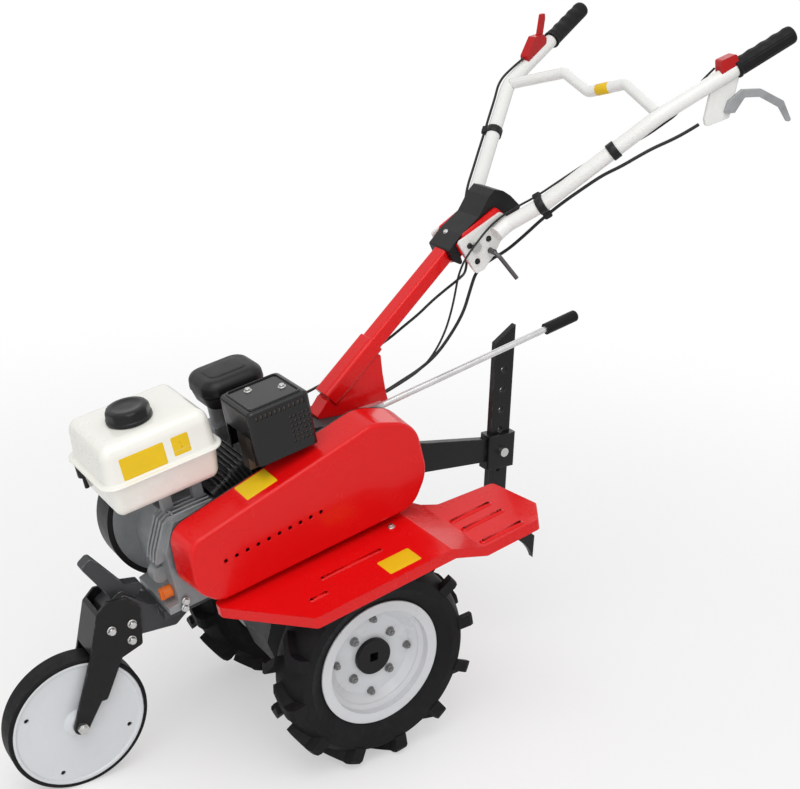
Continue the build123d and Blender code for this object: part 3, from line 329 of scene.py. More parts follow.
def build_scratches():
    """Hair scratches: thin bands where stretched noise crosses its middle value."""
    tree, given, out = effect(
        "Hair scratches",
        [("Amount", NUMBER, 0.3), ("Scale", NUMBER, 12.0)],
        [("Mask", NUMBER)],
    )
    where = put(tree, "ShaderNodeTexCoord").outputs["Object"]
    total = None
    for turn, stretch in ((0.5, 14.0), (-0.7, 18.0)):
        laid = put(tree, "ShaderNodeMapping")
        laid.inputs["Rotation"].default_value = (turn, turn * 1.3, turn * 0.6)
        laid.inputs["Scale"].default_value = (1.0, stretch, stretch)
        join(tree, where, laid.inputs["Vector"])
        value = noise(tree, laid.outputs[0], given.outputs["Scale"], 2.0, 0.5, 0.4)
        off = maths(tree, "ABSOLUTE", maths(tree, "SUBTRACT", value, 0.5))
        line = ranged(tree, off, 0.0, 0.006, 1.0, 0.0)
        total = line if total is None else maths(tree, "MAXIMUM", total, line)
    patches = ranged(tree, noise(tree, where, 7.0), 0.5, 0.65, 0.0, 1.0)
    join(tree, maths(tree, "MULTIPLY", maths(tree, "MULTIPLY", total, patches), given.outputs["Amount"]),
         out.inputs["Mask"])
    return tree


def build_grain():
    """Surface height from coarse and fine noise: the skin of a casting, a moulding or sprayed paint."""
    tree, given, out = effect(
        "Skin grain",
        [("Scale", NUMBER, 400.0), ("Coarse", NUMBER, 0.4)],
        [("Height", NUMBER)],
    )
    where = put(tree, "ShaderNodeTexCoord").outputs["Object"]
    fine = noise(tree, where, given.outputs["Scale"], 3.0, 0.6)
    broad = noise(tree, where, maths(tree, "MULTIPLY", given.outputs["Scale"], 0.16), 2.0)
    join(tree, maths(tree, "ADD", fine, maths(tree, "MULTIPLY", broad, given.outputs["Coarse"])),
         out.inputs["Height"])
    return tree


effects = {}


def use(tree, name, **values):
    """Places a shared effect in a material and sets its inputs."""
    node = put(tree, "ShaderNodeGroup", node_tree=effects[name])
    for label, value in values.items():
        join(tree, value, node.inputs[label.capitalize()])
    return node


def shade(colour):
    """A colour with its alpha of 1."""
    return (*tuple(colour)[:3], 1.0)


# How far an edge is rubbed, for each metre of its rounding, and what dust and scratches add to the roughness
worn_reach = 1.6
dust_roughness = 0.35
scratch_roughness = 0.5


def finish_of(name, colour, metallic=0.0, roughness=0.4, spread=0.08, coat=0.0, coat_roughness=0.06,
              specular=0.5, tone=0.05, tone_scale=5.0, dust=0.08, wear=0.0, worn=(0.35, 0.34, 0.33),
              scratches=0.0, grain=400.0, coarse=0.4, depth=0.00006, edge=0.0009):
    """A finish: toned colour, rubbed edges, dust, scratched gloss, and a grained, softly rounded surface."""
    material = bpy.data.materials.new(name)
    material.use_nodes = True
    tree = material.node_tree
    shader = tree.nodes["Principled BSDF"]
    toned = use(tree, "tone", colour=shade(colour), amount=tone, scale=tone_scale)
    tint = toned.outputs["Colour"]
    if wear:
        rubbed = use(tree, "edges", amount=wear, reach=edge * worn_reach)
        tint = mixed(tree, rubbed.outputs["Mask"], tint, shade(worn))
    dusty = use(tree, "dust", colour=tint, amount=dust)
    join(tree, dusty.outputs["Colour"], shader.inputs["Base Color"])
    rough = ranged(tree, toned.outputs["Value"], -1.0, 1.0, max(roughness - spread, 0.03), roughness + spread)
    rough = maths(tree, "ADD", rough, maths(tree, "MULTIPLY", dusty.outputs["Mask"], dust_roughness))
    if scratches:
        hair = use(tree, "scratches", amount=scratches)
        rough = maths(tree, "ADD", rough, maths(tree, "MULTIPLY", hair.outputs["Mask"], scratch_roughness))
    join(tree, rough, shader.inputs["Roughness"])
    shader.inputs["Metallic"].default_value = metallic
    shader.inputs["Specular IOR Level"].default_value = specular
    shader.inputs["Coat Weight"].default_value = coat
    shader.inputs["Coat Roughness"].default_value = coat_roughness
    grained = use(tree, "grain", scale=grain, coarse=coarse)
    bump = put(tree, "ShaderNodeBump")
    bump.inputs["Strength"].default_value = 1.0
    bump.inputs["Distance"].default_value = depth
    join(tree, grained.outputs["Height"], bump.inputs["Height"])
    if edge:
        rounded = put(tree, "ShaderNodeBevel", samples=4)
        rounded.inputs["Radius"].default_value = edge
        join(tree, rounded.outputs[0], bump.inputs["Normal"])
    join(tree, bump.outputs[0], shader.inputs["Normal"])
    return material


def gloss_paint(name, colour, **changes):
    """Sprayed enamel over sheet steel: clear gloss with a faint orange peel."""
    settings = dict(roughness=0.26, spread=0.04, coat=0.15, coat_roughness=0.05, specular=0.22, tone=0.02,
                    dust=0.0, scratches=0.08, grain=260.0, coarse=0.8, depth=0.00002, edge=0.0025)
    return finish_of(name, colour, **{**settings, **changes})


def cast_metal(name, colour, **changes):
    """A sand or die casting: dull, grainy and a little brighter where it is rubbed."""
    settings = dict(metallic=0.55, roughness=0.52, spread=0.1, tone=0.14, tone_scale=14.0, dust=0.05,
                    wear=0.4, worn=(0.5, 0.5, 0.5), grain=520.0, coarse=0.9, depth=0.00022, edge=0.0014)
    return finish_of(name, colour, **{**settings, **changes})


def moulded(name, colour, **changes):
    """Injection moulded plastic with a fine spark-eroded grain."""
    settings = dict(roughness=0.42, spread=0.06, specular=0.28, tone=0.05, dust=0.02, grain=900.0,
                    coarse=0.2, depth=0.00005, edge=0.0010)
    return finish_of(name, colour, **{**settings, **changes})


def rubber(name, colour, **changes):
    """Vulcanised rubber: dull, with dust in its grain."""
    settings = dict(roughness=0.62, spread=0.1, specular=0.18, tone=0.15, tone_scale=11.0, dust=0.02,
                    grain=480.0, coarse=0.7, depth=0.00012, edge=0.0015)
    return finish_of(name, colour, **{**settings, **changes})


def bare_steel(name, colour, **changes):
    """Plated or turned steel."""
    settings = dict(metallic=0.95, roughness=0.26, spread=0.07, tone=0.08, tone_scale=20.0, dust=0.05,
                    scratches=0.5, grain=700.0, coarse=0.3, depth=0.00003, edge=0.0006)
    return finish_of(name, colour, **{**settings, **changes})


# Shapes: a part is its points, quads and fan triangles, and its points come from rings moved by a formula

# The engine's base slopes down to the front wheel from this corner, in millimetres from the axle
base_corner = (239.0, 0.0, 331.5)
base_tilt = math.radians(12.5)
base_frame = np.array([
    (math.cos(base_tilt), 0.0, -math.sin(base_tilt)),
    (0.0, 1.0, 0.0),
    (math.sin(base_tilt), 0.0, math.cos(base_tilt)),
])
base_up = base_frame[2]


def on_base(points):
    """Points along, across and above the engine's tilted base, as points from the axle."""
    return np.asarray(points, float) @ base_frame + base_corner


def skin(rings):
    """A closed skin: quads from each ring to the next, and fans to a pole amid the first and last ring.

    Rings holds [step, point, coordinate].
    """
    steps_up, sides = rings.shape[:2]
    here = np.arange(sides)
    after = (here + 1) % sides
    rows = np.arange(steps_up - 1)[:, None] * sides
    quads = np.stack([rows + here, rows + after, rows + sides + after, rows + sides + here], -1)
    points = np.vstack([rings.reshape(-1, 3), rings[:1].mean(1), rings[-1:].mean(1)])
    last = (steps_up - 1) * sides
    low = np.stack([np.full(sides, steps_up * sides), after, here], -1)
    high = np.stack([np.full(sides, steps_up * sides + 1), last + here, last + after], -1)
    return points, quads.reshape(-1, 4), np.vstack([low, high])


def looped(sections):
    """A closed skin of quads over sections[step, point, coordinate], whose last meets its first."""
    steps_round, sides = sections.shape[:2]
    step = np.arange(steps_round)[:, None]
    side = np.arange(sides)[None, :]
    rows, next_rows = step * sides, (step + 1) % steps_round * sides
    after = (side + 1) % sides
    quads = np.stack([rows + side, rows + after, next_rows + after, next_rows + side], -1)
    return sections.reshape(-1, 3), quads.reshape(-1, 4), np.empty((0, 3), int)


def outward(part):
    """The part with its faces looking out: the sign of its enclosed volume tells which way they look."""
    points, quads, fans = part
    triangles = np.vstack([quads[:, :3], quads[:, (0, 2, 3)], fans])
    a, b, c = (points[triangles[:, corner]] for corner in range(3))
    if np.einsum("ij,ij->", np.cross(a, b), c) > 0:
        return part
    return points, quads[:, ::-1], fans[:, ::-1]


def set_on(part, place, up, along=(1.0, 0.0, 0.0)):
    """Sets a part drawn about Z at a place: its Z goes along up, and its X as near to along as it can."""
    points, quads, fans = part
    up = np.array(up, float) / np.linalg.norm(up)
    side = np.array(along, float) - np.dot(along, up) * up
    side /= np.linalg.norm(side)
    return points @ np.array([side, np.cross(up, side), up]) + np.array(place, float), quads, fans


def on_engine(part, place=(0.0, 0.0, 0.0)):
    """A part moved to a place over the engine's base and set on it."""
    points, quads, fans = part
    return on_base(points + place), quads, fans


def mirrored(part):
    """The part's twin on the machine's other side."""
    points, quads, fans = part
    return points * (1, -1, 1), quads, fans


def add_piece(name, parts, finish, body, crease=0.7, instead_of=()):
    """Joins parts into one mesh piece, in metres, which rides on a body and may stand for CAD nodes."""
    parts = [outward(part) for part in parts]
    starts = np.cumsum([0] + [len(part[0]) for part in parts[:-1]])
    points = from_axle(np.concatenate([part[0] for part in parts]))
    quads = np.concatenate([part[1] + start for part, start in zip(parts, starts)])
    fans = np.concatenate([part[2] + start for part, start in zip(parts, starts)])
    corners = np.concatenate([quads.ravel(), fans.ravel()])
    sizes = np.concatenate([np.full(len(quads), 4), np.full(len(fans), 3)])
    mesh = bpy.data.meshes.new(name)
    mesh.vertices.add(len(points))
    mesh.vertices.foreach_set("co", points.astype(np.float32).ravel())
    mesh.loops.add(len(corners))
    mesh.loops.foreach_set("vertex_index", corners.astype(np.int32))
    mesh.polygons.add(len(sizes))
    mesh.polygons.foreach_set("loop_start", (np.cumsum(sizes) - sizes).astype(np.int32))
    mesh.update(calc_edges=True)
    mesh.validate()
    mesh.shade_smooth()
    mesh.set_sharp_from_angle(angle=crease)
    mesh.materials.append(finishes[finish])
    piece = bpy.data.objects.new(name, mesh)
    bpy.context.collection.objects.link(piece)
    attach(piece, body)
    if instead_of:
        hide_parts(*instead_of)


full_turn = 2 * math.pi
least_corner = 4.0


def rounded_rings(length, width, corner, steps, centre=(0.0, 0.0), sides=96):
    """Rings of a rounded rectangle, one for each (inset, height).

    A point is its corner's centre plus the corner's radius along an even angle, and an inset takes as much
    from the radius, down to the least corner, as from the sides.
    """
    inset, height = np.array(steps, float).T[:, :, None]
    angle = (np.arange(sides) + 0.5) * full_turn / sides
    radius = np.maximum(corner - inset, min(least_corner, corner))
    x = np.sign(np.cos(angle)) * (length / 2 - inset - radius) + radius * np.cos(angle)
    y = np.sign(np.sin(angle)) * (width / 2 - inset - radius) + radius * np.sin(angle)
    return np.stack([x + centre[0], y + centre[1], height + 0 * x], -1)


def quarter(inset, height, radius, start, end, count=7):
    """Steps along an arc about (inset, height), with its angles in degrees."""
    angle = np.radians(np.linspace(start, end, count))
    return list(zip(inset + radius * np.cos(angle), height + radius * np.sin(angle)))


def turned(steps, sides=40, across=0.0, flats=6):
    """A body of revolution about Z: each (radius, height) step carried round in a circle.

    With across, a radius stays within a polygon of as many flats: across / 2 / cos(angle to the flat).
    """
    radius, height = np.array(steps, float).T[:, :, None]
    angle = np.arange(sides) * full_turn / sides
    if across:
        pitch = full_turn / flats
        radius = np.minimum(radius, across / 2 / np.cos(angle % pitch - pitch / 2))
    radius = radius + 0 * angle
    return skin(np.stack([radius * np.cos(angle), radius * np.sin(angle), height + 0 * radius], -1))


def band(inner, outer, width, sides=36):
    """A flat band about Z: a section between the radii with rounded corners, carried round in a circle."""
    edge = min((outer - inner) * 0.3, 1.2)
    section = rounded_rings(outer - inner, width, edge, [(0, 0)], ((inner + outer) / 2, 0), 16)[0]
    angle = (np.arange(sides) * full_turn / sides)[:, None]
    radius, height = section[:, 0], section[:, 1]
    return looped(np.stack([radius * np.cos(angle), radius * np.sin(angle), height + 0 * angle], -1))


def bolt(place, up, across, height, washer, stud=0.0):
    """A hexagon on a turned washer, its corners trimmed by a cone, with a stud's end above a nut."""
    flange = [(washer, -0.4), (washer, 0.8), (washer - 0.5, 1.4)]
    head = [(across, 1.45), (across, 1 + height * 0.8), (across * 0.47, 1 + height)]
    if stud:
        head += [(stud, 1 + height), (stud, 0.4 + height + stud), (stud - 0.8, 1.2 + height + stud)]
    return [set_on(turned(flange), place, up), set_on(turned(head, sides=48, across=across), place, up)]


def pad(length, width, corner, thick=0.25, edge=0.1, dome=0.0):
    """A thin plate: a rounded rectangle with a quarter-round edge and a parabola's dome."""
    half = min(length, width) / 2
    shares = (0.3, 0.6, 0.85)
    crown = [(edge + (half - edge) * share, thick + dome * (1 - (1 - share) ** 2)) for share in shares]
    steps = [(0, -0.6), (0, thick - edge), *quarter(edge, thick - edge, edge, 180, 90, 4)[1:], *crown]
    return skin(rounded_rings(length, width, corner, steps, sides=64))


finishes = {}


def dress(finish, *nodes):
    """Gives CAD nodes a finish by their material slots."""
    for name in nodes:
        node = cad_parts[name]
        if not node.material_slots:
            node.data.materials.append(finishes[finish])
        for slot in node.material_slots:
            slot.material = finishes[finish]


# Operators: one for each group of like pieces


class TRACTOR_OT_mix_finishes(bpy.types.Operator):
    """Builds the shared effects and every finish from the scene's colours"""

    bl_idname = "tractor.mix_finishes"
    bl_label = "Mix finishes"

    def execute(self, context):
        effects.update(
            tone=build_tone(), dust=build_dust(), edges=build_edges(), scratches=build_scratches(),
            grain=build_grain(),
        )
        scene = context.scene
        paints, metals, rubbers = scene.tractor_paints, scene.tractor_metals, scene.tractor_rubbers
        finishes.update(
            red=gloss_paint("Red enamel", paints.bodywork),
            white=gloss_paint("White enamel", paints.handlebar, specular=0.4),
            wheel=gloss_paint("Wheel enamel", paints.wheels, dust=0.03, roughness=0.30, specular=0.4),
            tank=gloss_paint("Tank enamel", paints.tank, coat=0.5, tone=0.008, specular=0.4),
            black=gloss_paint("Black enamel", paints.chassis, roughness=0.36, dust=0.02, wear=0.2, coat=0.08),
            guard=gloss_paint("Heat-proof black", paints.chassis, roughness=0.24, coat=0.3),
            casting=cast_metal("Dark casting", metals.casting, metallic=0.3, wear=0.6),
            engine=cast_metal("Bare aluminium", metals.engine),
            fins=cast_metal("Cylinder fins", (0.05, 0.05, 0.053), dust=0.03),
            silver=bare_steel("Plated steel", metals.plated),
            zinc_rod=bare_steel("Zinc plated rod", (0.66, 0.66, 0.66), metallic=0.8, roughness=0.3,
                                spread=0.04, scratches=0.0, edge=0.0),
            dark_rod=bare_steel("Blackened rod", (0.10, 0.10, 0.105), metallic=0.7, roughness=0.42),
            muffler=bare_steel("Scaled steel", (0.14, 0.12, 0.11), roughness=0.55, spread=0.15, tone=0.3),
            tyre=rubber("Tyre rubber", rubbers.tyre),
            grip=rubber("Grip rubber", rubbers.moulding, roughness=0.5, dust=0.04),
            plastic=moulded("Black plastic", rubbers.moulding),
            cap=moulded("Gloss black plastic", rubbers.moulding, roughness=0.34, grain=500.0),
            orange=moulded("Orange plastic", rubbers.knob, roughness=0.35),
            red_plastic=moulded("Red plastic", (0.45, 0.006, 0.008), roughness=0.36),
            hub=gloss_paint("Hub black", (0.005, 0.005, 0.006), roughness=0.45, coat=0.05),
            lever=cast_metal("Grey lever", (0.36, 0.37, 0.38), metallic=0.7, roughness=0.38, dust=0.04),
            sheath=moulded("Cable sheath", (0.012, 0.012, 0.012), roughness=0.38, edge=0.0),
            nut=cast_metal("Zinc nuts", (0.22, 0.22, 0.22), metallic=0.8, roughness=0.4),
            yellow=moulded("Yellow film", (0.80, 0.52, 0.01), roughness=0.34, grain=1400.0, depth=0.00001,
                           edge=0.0),
        )
        return {"FINISHED"}


class TRACTOR_OT_dress_bodywork(bpy.types.Operator):
    """Paints the belt cover, fenders and handle column, and dresses the hood over their head"""

    bl_idname = "tractor.dress_bodywork"
    bl_label = "Bodywork"

    def execute(self, context):
        dress("red", "belt_cover", "fender_left", "fender_right")
        dress("red", "handle_column", "handle_tower", "column_head")
        dress("black", "belt_guard_plate")
        dress("plastic", "column_cover")
        return {"FINISHED"}


class TRACTOR_OT_dress_running_gear(bpy.types.Operator):
    """Dresses the wheels, axle, gearbox, engine bed, fork and hitch"""

    bl_idname = "tractor.dress_running_gear"
    bl_label = "Running gear"

    def execute(self, context):
        dress("wheel", "rim_left", "rim_right", "front_disc")
        dress("tyre", "tyre_left", "tyre_right", "front_tyre")
        dress("hub", "wheel_axle")
        dress("casting", "gearbox", "engine_bed")
        dress("black", "front_fork", "hitch_arm", "drag_stake")
        dress("silver", "front_axle_bolt", "stake_pin")
        return {"FINISHED"}


class TRACTOR_OT_dress_engine(bpy.types.Operator):
    """Dresses the engine's castings, covers, muffler and muffler guard"""

    bl_idname = "tractor.dress_engine"
    bl_label = "Engine"

    def execute(self, context):
        dress("engine", "crankcase", "carburettor")
        dress("fins", "cylinder", "cylinder_head")
        dress("plastic", "fan_housing", "recoil_starter")
        dress("guard", "muffler_guard")
        dress("muffler", "muffler")
        dress("orange", "oil_plug")
        return {"FINISHED"}


class TRACTOR_OT_dress_handlebar(bpy.types.Operator):
    """Dresses the handlebar tubes, crossbar and levers, and the gear lever"""

    bl_idname = "tractor.dress_handlebar"
    bl_label = "Handlebar"

    def execute(self, context):
        dress("white", "handlebar_left", "handlebar_right", "crossbar", "clutch_bracket")
        dress("grip", "gear_lever_grip")
        dress("red_plastic", "throttle_lever", "engine_switch")
        dress("lever", "clutch_lever")
        dress("zinc_rod", "gear_lever")
        dress("silver", "pivot_bolt")
        dress("dark_rod", "clamp_lever")
        return {"FINISHED"}


# Each route gives the control points of one smooth line, in millimetres, X from the axle
cable_routes = {
    "clutch_cable": (
        (-605, 236, 1094), (-582, 229, 1080), (-556, 221, 1067), (-528, 212, 1055), (-502, 202, 1040),
        (-481, 186, 1022), (-460, 163, 1004), (-436, 142, 979), (-412, 118, 951), (-390, 92, 919),
        (-374, 64, 884), (-356, 38, 852), (-331, 23, 834), (-303, 20, 816), (-290, 22, 782), (-276, 24, 741),
        (-251, 20, 699), (-222, 20, 667), (-190, 14, 642), (-156, 8, 624), (-122, 3, 606),
    ),
    "throttle_cable": (
        (-576, -228, 1158), (-542, -228, 1136), (-518, -227, 1114), (-496, -208, 1086), (-469, -187, 1057),
        (-443, -166, 1027), (-416, -145, 998), (-391, -125, 970), (-366, -108, 938), (-346, -84, 905),
        (-338, -65, 868), (-331, -50, 832), (-319, -32, 800), (-290, -14, 794), (-259, -9, 780),
        (-229, -10, 761), (-200, -9, 740), (-173, -12, 722), (-146, -16, 702), (-122, -25, 684),
        (-98, -35, 667), (-72, -39, 650), (-43, -41, 635), (-12, -44, 621), (20, -49, 608), (50, -57, 596),
        (79, -65, 582), (106, -71, 571), (133, -74, 561),
    ),
    "switch_wire": (
        (-630.5, 235, 1189), (-617, 217, 1164), (-593, 217, 1134), (-566, 219, 1110), (-544, 216, 1097),
        (-521, 196, 1072), (-496, 165, 1048), (-462, 136, 1029), (-430, 118, 1004), (-400, 98, 977),
        (-378, 83, 957), (-356, 60, 937), (-335, 48, 921), (-306, 48, 903), (-274, 54, 877), (-250, 54, 849),
        (-243, 48, 820), (-245, 40, 792), (-240, 38, 757), (-228, 38, 717), (-208, 36, 679), (-184, 31, 650),
        (-154, 22, 629), (-121, 14, 611),
    ),
}


def cable_line(name, points, diameter, steps):
    """A round sheath swept along a quadratic NURBS line whose control points are the route's own."""
    curve = bpy.data.curves.new(name, "CURVE")
    curve.dimensions = "3D"
    spline = curve.splines.new("NURBS")
    places = from_axle(points)
    spline.points.add(len(places) - 1)
    spline.points.foreach_set("co", np.hstack([places, np.ones((len(places), 1))]).ravel())
    spline.order_u = 3
    spline.use_endpoint_u = True
    curve.resolution_u = steps
    curve.bevel_depth = diameter / 2
    curve.bevel_resolution = 3
    curve.use_fill_caps = True
    drawn = bpy.data.objects.new(name + "_route", curve)
    bpy.context.collection.objects.link(drawn)
    bpy.context.view_layer.update()
    graph = bpy.context.evaluated_depsgraph_get()
    mesh = bpy.data.meshes.new_from_object(drawn.evaluated_get(graph))
    mesh.name = name
    bpy.data.objects.remove(drawn)
    piece = bpy.data.objects.new(name, mesh)
    bpy.context.collection.objects.link(piece)
    mesh.shade_smooth()
    return piece


class TRACTOR_OT_lay_cables(bpy.types.Operator):
    """Lays the clutch cable, throttle cable and switch wire along the handlebar and down to the machine"""

    bl_idname = "tractor.lay_cables"
    bl_label = "Cables"

    def execute(self, context):
        sizes = context.scene.tractor_cables
        widths = {"clutch_cable": sizes.clutch, "throttle_cable": sizes.throttle, "switch_wire": sizes.switch}
        for node, points in cable_routes.items():
            piece = cable_line(node + "_sheath", points, widths[node], sizes.sides)
            piece.data.materials.clear()
            piece.data.materials.append(finishes["sheath"])
            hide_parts(node)
            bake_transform(piece)
        return {"FINISHED"}


# Fuel tank, on the engine's base: its outline, its profile as (inset, height), and its cap and tap
tank_size, tank_corner, tank_centre = (214, 188), 30, (39, -4)
tank_belly = [(84, 205.4), (60, 205.0), *quarter(34, 224, 19, 270, 188), (11.5, 252), (9.6, 260)]
tank_seam = [
    *quarter(6.6, 261, 3, 0, 80, 4), (2.0, 264), (0.7, 264.4), (0.0, 265.6), (0.0, 266.6), (0.7, 267.7),
    (2.2, 268.2), (6.5, 268.3), *quarter(6.6, 271.3, 3, 280, 360, 4),
]
tank_crown = [
    (10.6, 285), (12.6, 308), *quarter(38, 310, 25.5, 178, 90, 12), (50, 336.3), (66, 337.2), (84, 337.8),
]
cap_place = (54, 12, 337.2)
cap_profile = [
    (30, 0.2), (37.5, 0.3), (38, 1.2), (38, 5.5), (37.2, 6.4), (36.8, 7), (36.2, 17), (35.4, 19.6),
    (33.4, 21.8), (30.6, 23), (26, 23.4), (23, 23.1), (21.5, 22.4), (10, 22.2),
]
cap_flats, cap_flat_radius, cap_turn = 8, 33.6, 0.2
tap_place, stem_place = (133, -58, 236), (133, -58, 214)
tap_profile, stem_profile = [(6, 0), (9.5, 0.5), (10, 2), (10, 24), (9, 26), (5, 26.5)], [(4, 0), (4, 26)]


def lobed_cap():
    """The cap: its profile turned about Z, held under eight flats' radius from just above its foot."""
    radius, height = np.array(cap_profile, float).T[:, :, None]
    angle = np.arange(96) * full_turn / 96
    pitch = full_turn / cap_flats
    flat = cap_flat_radius / np.cos((angle + cap_turn) % pitch - pitch / 2)
    grip = np.clip((height - 6.2) / 1.5, 0, 1)
    radius = radius * (1 - grip) + np.minimum(radius, flat + (height < 21) * 0.4) * grip
    return skin(np.stack([radius * np.cos(angle), radius * np.sin(angle), height + 0 * radius], -1))


class TRACTOR_OT_press_tank(bpy.types.Operator):
    """Presses the fuel tank's two halves with the folded seam between them, and moulds its cap and tap"""

    bl_idname = "tractor.press_tank"
    bl_label = "Fuel tank"

    def execute(self, context):
        profile = tank_belly + tank_seam + tank_crown
        tank = skin(rounded_rings(*tank_size, tank_corner, profile, tank_centre, 160))
        add_piece("tank_pressing", [on_engine(tank)], "tank", "chassis", 1.2, ["fuel_tank"])
        cap = on_engine(lobed_cap(), cap_place)
        add_piece("tank_cap", [cap], "cap", "chassis", 0.6, ["fuel_cap"])
        tap = [on_engine(turned(tap_profile), tap_place), on_engine(turned(stem_profile), stem_place)]
        add_piece("fuel_tap", tap, "plastic", "chassis")
        return {"FINISHED"}


# Air cleaner, on the engine's base: its outline, its profile as (inset, height), and the lid's panel
cleaner_size, cleaner_corner, cleaner_centre = (116, 100), 30, (-142, -44)
cleaner_body = [(40, 279.3), (20, 279.2), *quarter(15, 288, 9, 270, 185, 6), (3.5, 296), (2.2, 302)]
cleaner_seam = [(4.2, 302.6), (4.2, 304.2), (1.2, 304.6), (0.3, 305.6), (0.0, 308), (0.6, 315)]
cleaner_lid = [*quarter(16, 316.5, 15.2, 180, 92, 9), (26, 332.2), (36, 332.6), (46, 332.8)]
panel_size, panel_corner, panel_height = (70, 52), 14, 332.3


class TRACTOR_OT_mould_air_cleaner(bpy.types.Operator):
    """Moulds the air cleaner's body and its lid over a narrow seam"""

    bl_idname = "tractor.mould_air_cleaner"
    bl_label = "Air cleaner"

    def execute(self, context):
        profile = cleaner_body + cleaner_seam + cleaner_lid
        body = on_engine(skin(rounded_rings(*cleaner_size, cleaner_corner, profile, cleaner_centre, 128)))
        panel = on_engine(pad(*panel_size, panel_corner, 0.9, 0.8, 0.4), (*cleaner_centre, panel_height))
        parts = [body, panel]
        add_piece("air_cleaner_body", parts, "plastic", "chassis", 0.8, ["air_cleaner"])
        return {"FINISHED"}


# Directions of a bolt's head, and its width across the flats, height and washer's radius
to_left, to_right = (0, 1, 0), (0, -1, 0)
guard_head, flange_head, bed_head, fender_head = (9, 4, 7), (11, 6, 7), (10, 5, 7), (9, 4, 7)
fork_head, hood_head, plate_head = (12, 6, 8), (7, 2, 5), (8, 2.5, 5.5)

# Engine trim, on the engine's base: the guard's rim as (share of its outline, height), bars and bolts
guard_size, guard_corner, guard_centre = (98, 94), 7, (-155, 71)
rim_shares = (1.0, 0.985, 0.955, 0.925, 0.915)
rim_heights = (318.4, 321.2, 321.8, 321.2, 318.4)
guard_bolts = ((-140, 46, 319.2), (-187, 79, 319.2))
flange_bolts = ((-121, 80.6, 210), (-196, 80.6, 210))
bar_size, bar_height, bar_along, bars_across = (78, 6.4), 6.5, 8, (21, 33, 45, 57)
bar_base = 161.5


def guard_ring():
    """The guard's rim: its outline shrunk to its middle by each share at each height, joined in a loop."""
    outline = rounded_rings(*guard_size, guard_corner, [(0, 0)], guard_centre, 64)[0]
    middle = np.array((*guard_centre, 0))
    sections = (outline - middle) * np.array(rim_shares)[:, None, None] + middle
    sections[..., 2] = np.array(rim_heights)[:, None]
    return looped(np.swapaxes(sections, 0, 1))


class TRACTOR_OT_trim_engine(bpy.types.Operator):
    """Adds the muffler guard's raised rim, the crankcase's cooling bars and the engine's bolts"""

    bl_idname = "tractor.trim_engine"
    bl_label = "Engine trim"

    def execute(self, context):
        add_piece("guard_rim", [on_engine(guard_ring())], "guard", "chassis", 0.8)
        bar = pad(*bar_size, 3.0, bar_height, 1.6, 0.3)
        bars = [on_engine(bar, (bar_along, across, bar_base)) for across in bars_across]
        add_piece("crankcase_bars", bars, "engine", "chassis", 0.9)
        bolts = []
        for place in guard_bolts:
            bolts += bolt(on_base(place), base_up, *guard_head)
        for place in flange_bolts:
            bolts += bolt(on_base(place), to_left, *flange_head)
        add_piece("engine_bolts", bolts, "silver", "chassis", 0.5)
        return {"FINISHED"}


# Fender ribs on the left, on the engine's base: start and end along, place across, the panel's height
rear_panel, front_panel = -2, 24
fender_ribs = (
    (-400, -491, 184, rear_panel), (-400, -492, 220, rear_panel), (-400, -493, 275, rear_panel),
    (-84, -122, 241, front_panel), (-128, -252, 201, front_panel),
)
# Width and rise of a rib on each panel
rib_section = {rear_panel: (15.0, 3.2), front_panel: (12.0, 2.2)}


def fender_rib(length, width, rise):
    """A rib: rounded rings whose height is the sine of how far they are drawn in to the middle line."""
    shares = (0.1, 0.25, 0.45, 0.7, 0.9)
    dome = [(width / 2 * share, rise * math.sin(share * math.pi / 2)) for share in shares]
    return skin(rounded_rings(length, width, width / 2 - 0.1, [(0, -0.5), (0, 0), *dome]))


class TRACTOR_OT_press_fenders(bpy.types.Operator):
    """Raises the ribs on both fenders"""

    bl_idname = "tractor.press_fenders"
    bl_label = "Fender ribs"

    def execute(self, context):
        ribs = []
        for start, end, across, height in fender_ribs:
            rib = fender_rib(abs(end - start), *rib_section[height])
            ribs.append(on_engine(rib, ((start + end) / 2, across, height)))
        ribs += [mirrored(rib) for rib in ribs]
        add_piece("fender_ribs", ribs, "red", "chassis", 1.2)
        return {"FINISHED"}


# Wheel nuts: the disc's height and face, and each ring's radius, first angle and width across the flats
axle_height, disc_face = 194, 178.5
nut_rings = ((52, 45, 13), (72, 0, 11))
nut_height, nut_washer, nut_stud = 7, 0.66, 3.4
# Bolts of the fork, bed and fenders, the hood's screw, and the screws of the handlebar's plates
fork_face, fork_bolts = 32, ((418, 288), (382, 291), (383, 261))
bed_bolts = ((62, 75.5, 16), (66, 75.5, 4))
fender_bolt = (-300, 154, front_panel)
hood_screw, hood_slope = (-253.6, -11, 886.6), (1, 0, 1)
plate_face, plate_screws = 43.5, ((-268, 871), (-309, 880), (-287, 841))


